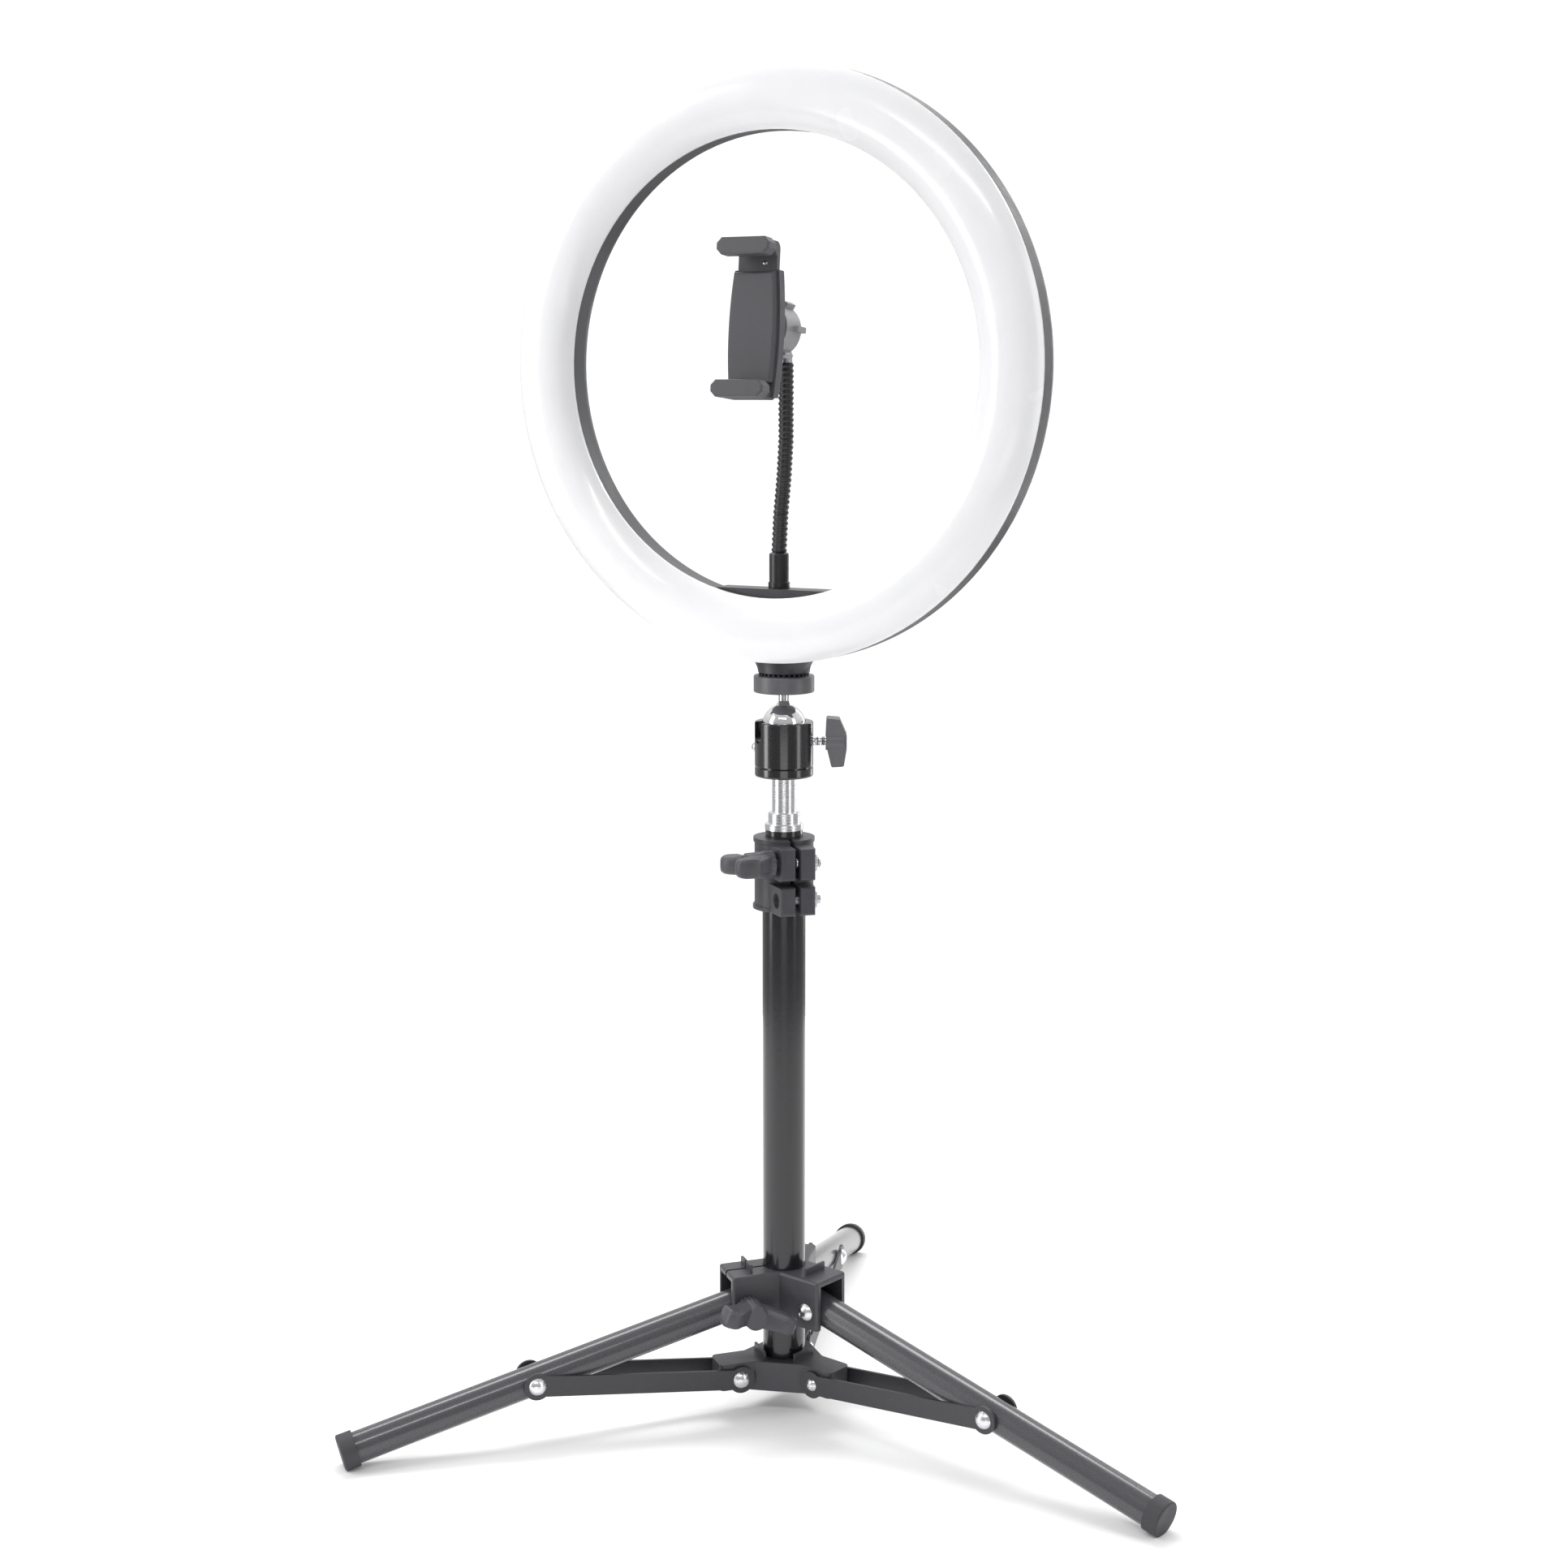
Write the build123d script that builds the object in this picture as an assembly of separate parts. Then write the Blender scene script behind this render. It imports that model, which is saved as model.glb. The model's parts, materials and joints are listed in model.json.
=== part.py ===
"""Ring light on a folding three-legged stand, with a ball head and a gooseneck phone holder.

Millimetres, +Z up. The origin is the centre of the column's lower end face; the floor
lies FLOOR_DROP below it. The lamp shines along -Y.
"""
import math
import os

from build123d import *

# ---- clearances between pieces ------------------------------------------------------------
SEAT = 0.05              # radial, between two pieces of one body
RUN = 0.08               # radial, a shaft that turns or slides in its bore
FREE = 0.3               # between faces that pass each other without guiding

# ---- column -------------------------------------------------------------------------------
FLOOR_DROP = 13.6        # column's lower end above the floor
TUBE_OD, TUBE_WALL = 22.0, 1.0
TUBE_TOP = 270.0         # outer tube's upper end, inside the clamp
TUBE_PLAY = 0.5          # radial, between the two tubes, taken up by the bush and the clamp
INNER_OD, INNER_WALL = TUBE_OD - 2 * (TUBE_WALL + TUBE_PLAY), 1.0
INNER_LOW, BUSH_LENGTH, BUSH_SKIRT = 50.0, 24.0, 3.0
PLUG_FLANGE, PLUG_DEPTH = 2.0, 14.0

# ---- legs and struts ----------------------------------------------------------------------
ARM_AZIMUTHS = {"left": 228.0, "right": 348.0, "rear": 108.0}
LEG_OD, LEG_WALL = 16.0, 1.0
LEG_LENGTH, LEG_TAIL = 213.0, 5.6      # pivot to foot end, pivot to crown end
LEG_SLOPE = 13.9                       # degrees below level when the stand is open
STRUT_ON_LEG = 114.5                   # along the leg, crown pivot to strut pivot
STRAP_HEIGHT, STRAP_THICK, STRAP_END_R = 10.5, 1.5, 7.0
CAP_WALL, CAP_GRIP, CAP_END, CAP_ROUND = 1.2, 5.0, 3.0, 1.0
PIN_R, STRUT_PIN_R = 3.0, 2.4
RIVET_HEAD_R, RIVET_HEAD_H = 4.6, 2.6
CLINCH_R, CLINCH_H, CLINCH_DIMPLE = 3.2, 1.6, 1.3

# ---- spider, the fixed lower joint of the struts ------------------------------------------
SPIDER_HEIGHT, SPIDER_WALL = 15.6, 5.6               # its wall round the column
SPIDER_CORNER_R = 2 * (TUBE_OD / 2 + SPIDER_WALL)    # the three-cornered hub's corners
SPIDER_ARM_WIDTH, SPIDER_ARM_ROUND = LEG_OD, 3.0
SPIDER_PIVOT_R = SPIDER_CORNER_R - SPIDER_ARM_WIDTH / 2 * math.sqrt(3) + STRAP_END_R + FREE
SPIDER_PIVOT_Z = 7.1
SPIDER_ARM_REACH, SPIDER_ARM_DROP = SPIDER_PIVOT_R + 11.3, 5.5   # the arm's end and underside
TAB_WIDTH, TAB_THICK, TAB_HEIGHT = 15.0, 1.3, 4.0
SPIDER_TAB_R, CROWN_TAB_R = TUBE_OD / 2 + 1.6, TUBE_OD / 2 + 9.0

# ---- leg crown, the sliding upper joint of the legs ----------------------------------------
CROWN_PIVOT_R, CROWN_PIVOT_Z = TUBE_OD / 2 + 13.0, 46.4
CROWN_LOW = CROWN_PIVOT_Z - LEG_OD / 2 - 0.6
CROWN_TOP = CROWN_PIVOT_Z + LEG_OD / 2 + 9.5
CROWN_ARM_REACH, CROWN_CHEEK, CROWN_ROOF = CROWN_PIVOT_R + 8.0, 3.1, 3.0
CROWN_WALL, CROWN_ROUND = 2.5, 1.5                   # wall round the column; edge rounding
CROWN_SLIT = 1.6
CROWN_NUT_FLATS, CROWN_NUT_H, CROWN_BOLT_SPARE = 10.0, 5.0, 1.5

# ---- height clamp -------------------------------------------------------------------------
CLAMP_AZIMUTH = -46.0
CLAMP_WALL = 4.0
CLAMP_LOW, CLAMP_TOP = TUBE_TOP - 15.6, TUBE_TOP + 21.0
CLAMP_FOOT_RIM, CLAMP_HEAD_RIM = (0.9, 1.8), (0.6, 2.2)   # each rim's thickness and height
LUG_REACH, LUG_WIDTH, LUG_ROOT_WIDTH, LUG_GAP = TUBE_OD / 2 + 15.5, 18.0, 21.5, 2.2
LUG_ROUND = 1.3
UPPER_LUG = (TUBE_TOP + 2.7, TUBE_TOP + 18.8)
LOWER_LUG = (TUBE_TOP - 15.2, TUBE_TOP - 0.8)
CLAMP_SCREW_R = TUBE_OD / 2 + 9.0      # clamp screws' distance from the column's axis
M5_R, M5_NUT_FLATS, M5_NUT_H = 2.5, 8.0, 4.0
NUT_SINK, SCREW_SINK = 2.2, 4.5        # how deep the nuts and the screw's head are let in
SCREW_HEAD_R, SCREW_HEAD_H, SCREW_SPARE = 3.7, 3.4, 2.0
SOCKET_FLAT_R, SOCKET_DEPTH = 1.9, 1.8
WING_LENGTH, WING_SPAN, WING_THICK, WING_HUB_R = 23.5, 39.0, 6.4, 7.0
WING_ROUND, WING_BOLT_DEPTH = 1.2, 0.4               # the bolt's depth is a share of the length
CLAMP_KNOB_TURN, CROWN_KNOB_TURN = 0.0, -21.0

# ---- spigot and ball head -----------------------------------------------------------------
INNER_TOP = CLAMP_TOP + 3.8
SPIGOT_PLUG = 16.0
SPIGOT_FLANGE_R, SPIGOT_FLANGE_H = INNER_OD / 2 + 0.2, 3.0
SPIGOT_STEP_R, SPIGOT_STEP_H = 8.0, 5.6
SPIGOT_R, SPIGOT_TOP = 6.0, INNER_TOP + 27.2
BALL_R = 11.0
CUP_R, CUP_BASE_H, CUP_GROOVE_H, CUP_FLOOR = BALL_R + 3.8, 4.6, 1.0, 9.3
CUP_SKIRT, CUP_NECK_H = 2.4, 3.0                     # groove's depth; turntable neck's height
CUP_BASE_ROUND, CUP_RIM_ROUND = 1.2, 0.8
BALL_Z = SPIGOT_TOP + CUP_BASE_H + CUP_GROOVE_H + CUP_FLOOR + BALL_R
CUP_RIM_ABOVE = 2.2
STEM_R, STEM_LENGTH, STEM_FLARE = 2.8, 6.0, 1.6
PLATFORM_LOW = BALL_Z + BALL_R + STEM_LENGTH
PLATFORM_R, PLATFORM_H, PLATFORM_ROUND = 15.3, 8.5, 0.7
STEM_SEAT, STUD_SEAT = 3.0, 4.5                      # stem and stud ends above its underside
PAD_R, PAD_H = 12.6, 1.4
STUD_R, STUD_H = 3.17, 6.0
NOTCH_AZIMUTH, NOTCH_WIDTH, NOTCH_DEPTH = 232.0, 7.6, 7.0
LOCK_AZIMUTH, LOCK_Z = 28.0, BALL_Z - 8.1
LOCK_HUB_AT, LOCK_DEPTH, LOCK_SPAN, LOCK_THICK = CUP_R + 6.2, 10.6, 25.0, 7.0
LOCK_HUB_R, LOCK_ROUND, LOCK_TURN = 4.6, 1.1, 6.0
SET_SCREW_R, SET_SCREW_DROP = 1.5, 3.0

# ---- lamp ---------------------------------------------------------------------------------
NECK_LOW = PLATFORM_LOW + PLATFORM_H + PAD_H + 0.1
RING_R, RING_HOLE_R, RING_ABOVE_NECK = 144.5, 112.5, 6.1
RING_Z = NECK_LOW + RING_ABOVE_NECK + RING_R
RING_FRONT, RING_BACK = -16.0, 0.4     # housing's front edge and back face, along Y
RING_WALL, RING_BACK_ROUND = 2.0, 7.0
DIFFUSER_RISE, DIFFUSER_EDGE, DIFFUSER_WALL = 9.0, 1.6, 2.3
DIFFUSER_LIP, DIFFUSER_LIP_THICK = 5.0, 1.2
BOARD_THICK, BOARD_AT = 1.6, -7.5
BOARD_MARGIN = 4.0                     # between the board's edge and the housing's walls
LED_SIZE, LED_SPREAD, LED_PER_ROW = (3.5, 1.4, 2.8), 6.5, 48
HOUSING_SCREWS, HOUSING_SCREW_R, POST_R = 8, 2.6, 3.4
NECK_R = 13.0
NECK_TOP = NECK_LOW + 14.1
NECK_TOP_HALF_WIDTH = 26.0
INSERT_R, INSERT_DEPTH = 5.0, 9.0
CHORD_RISE = 4.4                       # the flat seat's height above the hole's edge
GLAND_AZIMUTH, GLAND_R, GLAND_BORE_R = 45.0, 5.0, 2.2

# ---- gooseneck ----------------------------------------------------------------------------
GOOSE_R, FERRULE_H, FERRULE_STUB = 3.9, 17.5, 6.0
FERRULE_R, FERRULE_FLANGE = GOOSE_R + 1.0, (0.5, 3.0)    # flange's thickness and height
GOOSE_FOOT_Y, GOOSE_TOP_Y, GOOSE_TOP_Z = -5.2, 2.2, RING_Z + 2.5
GOOSE_SEGMENTS, GOOSE_STRAIGHT = 5, 0.62
COLLAR_R, COLLAR_H = 3.4, 3.0

# ---- phone holder, built upright about its ball, then leaned back -------------------------
HOLDER_BALL = (0.0, -9.0, RING_Z + 18.0)
HOLDER_LEAN = 5.7
HOLDER_BALL_R, NECK_ROD_R = 6.0, 2.4
SOCKET_R = HOLDER_BALL_R + 3.6
NUT_R, NUT_BACK, NUT_FRONT, NUT_LIP = SOCKET_R + 3.0, 4.6, -11.5, 2.2
NUT_LUGS, NUT_LUG_HALF, NUT_LUG_RISE, NUT_LUG_LENGTH = 6, 1.4, 2.4, 8.4
BODY_BACK, BODY_FRONT = -15.0, -24.5
BODY_LOW, BODY_TOP, BODY_WIDTH, BODY_BULGE = -34.5, 26.0, 24.0, 3.6
SLOT_FRONT, SLOT_THICK, SLOT_WIDTH, SLOT_LOW = -21.0, 3.6, 21.6, -22.0
PAD_Y, PAD_DEPTH, PAD_WIDTH, PAD_HEIGHT, PAD_CHAMFER = -33.0, 7.5, 28.5, 8.2, 2.6
UPPER_PAD_Z, LOWER_PAD_Z = 35.6, -31.5
PAD_BACK = PAD_Y + PAD_DEPTH / 2
SOCKET_FRONT = -2.2                    # the socket's lip, in front of the ball's middle
JAW_WIDTH, JAW_THICK, JAW_ROUND, JAW_GUSSET = 21.0, 4.4, 3.5, 2.5
UPPER_JAW_RISE, LOWER_JAW_DROP, LOWER_JAW_RISE = 3.8, 4.2, 3.9   # from the pads' middles
LOWER_JAW_SET_IN = 0.8
STOP_SCREW_R, STOP_SCREW_H, STOP_SCREW_AT = 1.3, 0.8, 4.0


def ring(outer, inner, height, z=0.0):
    """A flat-ended tube standing on height z."""
    tube = Cylinder(outer, height, align=(Align.CENTER, Align.CENTER, Align.MIN))
    bore = Cylinder(inner, height, align=(Align.CENTER, Align.CENTER, Align.MIN))
    return Pos(0, 0, z) * (tube - bore)


def rod(radius, height, z=0.0):
    """A solid cylinder standing on height z."""
    return Pos(0, 0, z) * Cylinder(radius, height, align=(Align.CENTER, Align.CENTER, Align.MIN))


def block(x0, x1, y0, y1, z0, z1):
    """A box between two corners."""
    return Pos((x0 + x1) / 2, (y0 + y1) / 2, (z0 + z1) / 2) * Box(x1 - x0, y1 - y0, z1 - z0)


def cross_rod(radius, half_length, x=0.0, z=0.0):
    """A rod along Y, centred on the arm's mid plane."""
    return Pos(x, 0, z) * Rot(90, 0, 0) * Cylinder(radius, 2 * half_length)


def dome_rivet_head(radius, height):
    """A low domed rivet head, its flat face on z = 0."""
    sphere_r = (radius ** 2 + height ** 2) / (2 * height)
    cap = Pos(0, 0, height - sphere_r) * Sphere(sphere_r)
    return cap & rod(sphere_r * 2, height)


def hex_nut(flats, height, bore):
    """A hexagonal nut standing on z = 0."""
    return extrude(RegularPolygon(flats / math.sqrt(3), 6), height) - rod(bore, height)


def around(arm, shape):
    """A shape built along +X, turned to an arm's azimuth."""
    return Rot(0, 0, ARM_AZIMUTHS[arm]) * shape


def wing_knob(bore):
    """A butterfly knob along +Z: a round hub whose two wings spread and reach past it."""
    half, length = WING_SPAN / 2, WING_LENGTH
    flank = [(WING_HUB_R * 0.9, 2.0), (WING_HUB_R + 1.0, length * 0.38), (half, length * 0.62),
             (half - 1.5, length), (half * 0.55, length * 0.93), (3.5, length * 0.66)]
    outline = flank + [(-x, z) for x, z in reversed(flank)]
    wings = extrude(Plane.XZ * make_face(Polyline(*outline, close=True)), WING_THICK / 2,
                    both=True)
    wings = fillet(wings.edges().filter_by(Axis.Y), WING_ROUND)
    hub = rod(WING_HUB_R, length * 0.62)
    knob = fillet(hub.edges().sort_by(Axis.Z)[-1], 1.5) + wings
    return knob - rod(bore, length * 0.5)


# ---- column and spider ---------------------------------------------------------------------
def outer_tube():
    return ring(TUBE_OD / 2, TUBE_OD / 2 - TUBE_WALL, TUBE_TOP - PLUG_FLANGE, PLUG_FLANGE)


def column_plug():
    """Closes the column's lower end; its underside is the origin's face."""
    return rod(TUBE_OD / 2, PLUG_FLANGE) + rod(TUBE_OD / 2 - TUBE_WALL - SEAT, PLUG_DEPTH)


def cross_tab(radius, z):
    """An upright tab across an arm, just outside the column."""
    return block(radius, radius + TAB_THICK, -TAB_WIDTH / 2, TAB_WIDTH / 2, z, z + TAB_HEIGHT)


def spider():
    """A three-cornered hub: flat walls between the arms, one arm out of each corner."""
    body = around("left", extrude(RegularPolygon(SPIDER_CORNER_R, 3), SPIDER_HEIGHT))
    for arm in ARM_AZIMUTHS:
        tongue = block(0, SPIDER_ARM_REACH, -SPIDER_ARM_WIDTH / 2, SPIDER_ARM_WIDTH / 2,
                       SPIDER_PIVOT_Z - SPIDER_ARM_DROP, SPIDER_HEIGHT)
        tongue = fillet(tongue.edges().filter_by(Axis.Z).sort_by(Axis.X)[-2:], SPIDER_ARM_ROUND)
        tongue += cross_tab(SPIDER_TAB_R, SPIDER_HEIGHT)
        body += around(arm, tongue)
    for arm in ARM_AZIMUTHS:
        body -= around(arm, cross_rod(STRUT_PIN_R + SEAT, SPIDER_ARM_WIDTH, SPIDER_PIVOT_R,
                                      SPIDER_PIVOT_Z))
    return body - rod(TUBE_OD / 2 + SEAT, SPIDER_HEIGHT + TAB_HEIGHT)


STRAP_IN = LEG_OD / 2 + FREE                 # strap's inner face from the arm's mid plane
STRAP_OUT = STRAP_IN + STRAP_THICK
STRAP_HEAD_AT = STRAP_OUT + SEAT


def spider_rivets():
    """One through rivet per arm: a domed head on one side, a dimpled clinched end behind."""
    clinched = dome_rivet_head(CLINCH_R, CLINCH_H) - Pos(0, 0, CLINCH_H) * Sphere(CLINCH_DIMPLE)
    rivets = []
    for arm in ARM_AZIMUTHS:
        shank = cross_rod(STRUT_PIN_R, STRAP_HEAD_AT, SPIDER_PIVOT_R, SPIDER_PIVOT_Z)
        head = Rot(-90, 0, 0) * dome_rivet_head(RIVET_HEAD_R, RIVET_HEAD_H)
        ends = Pos(0, STRAP_HEAD_AT, 0) * head
        ends += Pos(0, -STRAP_HEAD_AT, 0) * Rot(90, 0, 0) * clinched
        rivets.append(around(arm, shank + Pos(SPIDER_PIVOT_R, 0, SPIDER_PIVOT_Z) * ends))
    return Compound(children=rivets)


# ---- leg crown -----------------------------------------------------------------------------
CROWN_IN = LEG_OD / 2 + 2 * FREE             # cheek's inner face from the arm's mid plane
CROWN_OUT = CROWN_IN + CROWN_CHEEK
CROWN_BOSS_R = TUBE_OD / 2 + CROWN_WALL


def crown_arm():
    arm = block(0, CROWN_ARM_REACH, -CROWN_OUT, CROWN_OUT, CROWN_LOW, CROWN_TOP)
    arm = fillet(arm.edges().filter_by(Axis.Z).sort_by(Axis.X)[-2:], CROWN_ROUND)
    arm = fillet(arm.edges().filter_by(Axis.X).sort_by(Axis.Z)[-2:], CROWN_ROUND)
    return arm + cross_tab(CROWN_TAB_R, CROWN_TOP)


def leg_crown():
    body = rod(CROWN_BOSS_R, CROWN_TOP - CROWN_LOW, CROWN_LOW)
    for arm in ARM_AZIMUTHS:
        body += around(arm, crown_arm())
    for arm in ARM_AZIMUTHS:
        channel = block(0, CROWN_ARM_REACH + 1, -CROWN_IN, CROWN_IN, CROWN_LOW,
                        CROWN_TOP - CROWN_ROOF)
        body -= around(arm, channel - rod(CROWN_BOSS_R, CROWN_TOP))
        body -= around(arm, cross_rod(PIN_R + SEAT, CROWN_OUT + 1, CROWN_PIVOT_R,
                                      CROWN_PIVOT_Z))
    slit = block(0, CROWN_ARM_REACH + 1, -CROWN_SLIT / 2, CROWN_SLIT / 2, CROWN_LOW,
                 CROWN_TOP + TAB_HEIGHT)
    body -= around("left", slit)
    return body - rod(TUBE_OD / 2 + RUN, CROWN_TOP)


def crown_rivets():
    """The right and rear legs' pivot rivets."""
    rivets = []
    for arm in ("right", "rear"):
        pin = cross_rod(PIN_R, CROWN_OUT + SEAT, 0, 0)
        head = Rot(90, 0, 0) * dome_rivet_head(RIVET_HEAD_R, RIVET_HEAD_H)
        pin += Pos(0, -CROWN_OUT - SEAT, 0) * head
        pin += Pos(0, CROWN_OUT + SEAT, 0) * Rot(180, 0, 0) * head
        rivets.append(around(arm, Pos(CROWN_PIVOT_R, 0, CROWN_PIVOT_Z) * pin))
    return Compound(children=rivets)


def on_crown_pivot(shape):
    """A shape built along +Z, laid along the left leg's pivot, z = 0 on the mid plane."""
    return around("left", Pos(CROWN_PIVOT_R, 0, CROWN_PIVOT_Z) * Rot(-90, 0, 0) * shape)


def crown_bolt():
    """The left leg's pivot bolt, held in the wing knob."""
    tip = CROWN_OUT + CROWN_NUT_H + CROWN_BOLT_SPARE
    return on_crown_pivot(rod(PIN_R, tip + CROWN_OUT + WING_LENGTH * WING_BOLT_DEPTH, -tip))


def crown_knob():
    knob = Rot(0, 0, CROWN_KNOB_TURN) * wing_knob(PIN_R + SEAT)
    return on_crown_pivot(Pos(0, 0, CROWN_OUT + FREE) * knob)


def crown_nut():
    nut = hex_nut(CROWN_NUT_FLATS, CROWN_NUT_H, PIN_R + RUN)
    return on_crown_pivot(Pos(0, 0, -CROWN_OUT - CROWN_NUT_H - SEAT) * nut)


# ---- legs ----------------------------------------------------------------------------------
def along_leg(arm, shape, slope=LEG_SLOPE):
    """A shape built along +X from the crown pivot, laid along a leg."""
    return around(arm, Pos(CROWN_PIVOT_R, 0, CROWN_PIVOT_Z) * Rot(0, slope, 0) * shape)


def leg_tube(arm):
    tube = Pos(-LEG_TAIL, 0, 0) * Rot(0, 90, 0) * ring(LEG_OD / 2, LEG_OD / 2 - LEG_WALL,
                                                       LEG_LENGTH + LEG_TAIL)
    tube -= cross_rod(PIN_R + 2 * RUN, LEG_OD)
    return along_leg(arm, tube)


def foot_cap(arm):
    """A rubber cap over the leg's end, with a small flat worn level with the floor."""
    outer = rod(LEG_OD / 2 + CAP_WALL, CAP_GRIP + CAP_END)
    outer = fillet(outer.edges().sort_by(Axis.Z)[-1], CAP_ROUND)
    cap = outer - rod(LEG_OD / 2 + SEAT, CAP_GRIP)
    cap = along_leg(arm, Pos(LEG_LENGTH - CAP_GRIP, 0, 0) * Rot(0, 90, 0) * cap)
    reach = CROWN_PIVOT_R + LEG_LENGTH + LEG_OD
    return cap - block(-reach, reach, -reach, reach, -FLOOR_DROP - LEG_OD, -FLOOR_DROP)


# ---- struts --------------------------------------------------------------------------------
STRUT_PIVOT_X = CROWN_PIVOT_R + STRUT_ON_LEG * math.cos(math.radians(LEG_SLOPE))
STRUT_PIVOT_Z = CROWN_PIVOT_Z - STRUT_ON_LEG * math.sin(math.radians(LEG_SLOPE))
STRUT_LENGTH = math.hypot(STRUT_PIVOT_X - SPIDER_PIVOT_R, STRUT_PIVOT_Z - SPIDER_PIVOT_Z)
STRUT_RISE = math.degrees(math.atan2(STRUT_PIVOT_Z - SPIDER_PIVOT_Z,
                                     STRUT_PIVOT_X - SPIDER_PIVOT_R))


def along_strut(arm, shape):
    """A shape built along +X from the spider pivot, laid along a strut."""
    return around(arm, Pos(SPIDER_PIVOT_R, 0, SPIDER_PIVOT_Z) * Rot(0, -STRUT_RISE, 0) * shape)


def strut_straps(arm):
    """Two flat straps, one each side of the leg, with rounded eyes at both ends."""
    bar = Pos(STRUT_LENGTH / 2, 0) * Rectangle(STRUT_LENGTH, STRAP_HEIGHT)
    outline = bar + Circle(STRAP_END_R) + Pos(STRUT_LENGTH, 0) * Circle(STRAP_END_R)
    strap = extrude(Plane.XZ * outline, STRAP_THICK / 2, both=True)
    strap -= cross_rod(STRUT_PIN_R + RUN, STRAP_THICK, 0, 0)
    strap -= cross_rod(STRUT_PIN_R + SEAT, STRAP_THICK, STRUT_LENGTH, 0)
    middle = (STRAP_IN + STRAP_OUT) / 2
    return Compound(children=[along_strut(arm, Pos(0, y, 0) * strap) for y in (middle, -middle)])


def strut_rivets(arm):
    """Head and stub of the leg rivet, one on each strap."""
    stub = cross_rod(STRUT_PIN_R, (STRAP_THICK + SEAT) / 2)
    one = Pos(0, (STRAP_IN + STRAP_HEAD_AT) / 2, 0) * stub
    one += Pos(0, STRAP_HEAD_AT, 0) * Rot(-90, 0, 0) * dome_rivet_head(RIVET_HEAD_R,
                                                                      RIVET_HEAD_H)
    return Compound(children=[along_strut(arm, Pos(STRUT_LENGTH, 0, 0) * Rot(0, 0, turn) * one)
                              for turn in (0, 180)])


# ---- height clamp --------------------------------------------------------------------------
def at_clamp(shape):
    """A shape built with its lugs along +X, turned to the clamp's azimuth."""
    return Rot(0, 0, CLAMP_AZIMUTH) * shape


def clamp_lug(low, top):
    """The pair of lugs at one height, tapered outwards, with the slit between them."""
    bend = LUG_REACH * 0.4
    outline = Polyline((0, LUG_GAP / 2), (LUG_REACH, LUG_GAP / 2), (LUG_REACH, LUG_WIDTH / 2),
                       (bend, LUG_ROOT_WIDTH / 2), (0, LUG_ROOT_WIDTH / 2), close=True)
    lug = Pos(0, 0, low) * extrude(make_face(outline), top - low)
    lug = fillet(lug.edges().group_by(Axis.X)[-1], LUG_ROUND)
    return lug + mirror(lug, about=Plane.XZ)


UPPER_SCREW_Z = sum(UPPER_LUG) / 2
LOWER_SCREW_Z = sum(LOWER_LUG) / 2


def on_clamp_screw(shape, z):
    """A shape built along +Z, laid along a clamp screw, z = 0 on the slit's mid plane."""
    return at_clamp(Pos(CLAMP_SCREW_R, 0, z) * Rot(90, 0, 0) * shape)


def height_clamp():
    radius = TUBE_OD / 2 + CLAMP_WALL
    (foot, foot_high), (head, head_high) = CLAMP_FOOT_RIM, CLAMP_HEAD_RIM
    body = rod(radius, CLAMP_TOP - CLAMP_LOW, CLAMP_LOW)
    body += rod(radius + foot, foot_high, CLAMP_LOW)
    body += rod(radius + head, head_high, CLAMP_TOP - head_high)
    body += clamp_lug(*UPPER_LUG) + clamp_lug(*LOWER_LUG)
    body -= rod(TUBE_OD / 2 + SEAT, TUBE_TOP + SEAT - CLAMP_LOW, CLAMP_LOW)
    body -= rod(INNER_OD / 2 + RUN, CLAMP_TOP)
    body -= block(0, LUG_REACH + 1, -LUG_GAP / 2, LUG_GAP / 2, CLAMP_LOW, CLAMP_TOP)
    for z in (UPPER_SCREW_Z, LOWER_SCREW_Z):
        body -= cross_rod(M5_R + SEAT, LUG_WIDTH, CLAMP_SCREW_R, z)
        pocket = extrude(RegularPolygon((M5_NUT_FLATS + 2 * SEAT) / math.sqrt(3), 6), LUG_WIDTH)
        body -= Pos(CLAMP_SCREW_R, LUG_WIDTH / 2 - NUT_SINK, z) * Rot(-90, 0, 0) * pocket
    recess = Rot(90, 0, 0) * rod(SCREW_HEAD_R + 4 * SEAT, LUG_WIDTH, LUG_WIDTH / 2 - SCREW_SINK)
    body -= Pos(CLAMP_SCREW_R, 0, LOWER_SCREW_Z) * recess
    return at_clamp(body)


def clamp_nuts():
    """Two hexagonal nuts let into the lugs' far faces."""
    nut = hex_nut(M5_NUT_FLATS, M5_NUT_H, M5_R + RUN)
    nut = Pos(0, 0, -LUG_WIDTH / 2 + NUT_SINK - M5_NUT_H) * nut
    return Compound(children=[on_clamp_screw(nut, z) for z in (UPPER_SCREW_Z, LOWER_SCREW_Z)])


CLAMP_SCREW_TIP = LUG_WIDTH / 2 - NUT_SINK + M5_NUT_H + SCREW_SPARE


def collar_screw():
    """The socket screw that fixes the clamp on the outer tube."""
    seat = LUG_WIDTH / 2 - SCREW_SINK + SEAT
    screw = rod(M5_R, seat + CLAMP_SCREW_TIP, -CLAMP_SCREW_TIP)
    screw += rod(SCREW_HEAD_R, SCREW_HEAD_H, seat)
    key = extrude(RegularPolygon(SOCKET_FLAT_R, 6), SOCKET_DEPTH)
    return on_clamp_screw(screw - Pos(0, 0, seat + SCREW_HEAD_H - SOCKET_DEPTH) * key,
                          LOWER_SCREW_Z)


KNOB_FACE = LUG_ROOT_WIDTH / 2 + FREE        # knob's seat, measured from the slit's mid plane


def clamp_bolt():
    length = CLAMP_SCREW_TIP + KNOB_FACE + WING_LENGTH * WING_BOLT_DEPTH
    return on_clamp_screw(rod(M5_R, length, -CLAMP_SCREW_TIP), UPPER_SCREW_Z)


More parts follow.
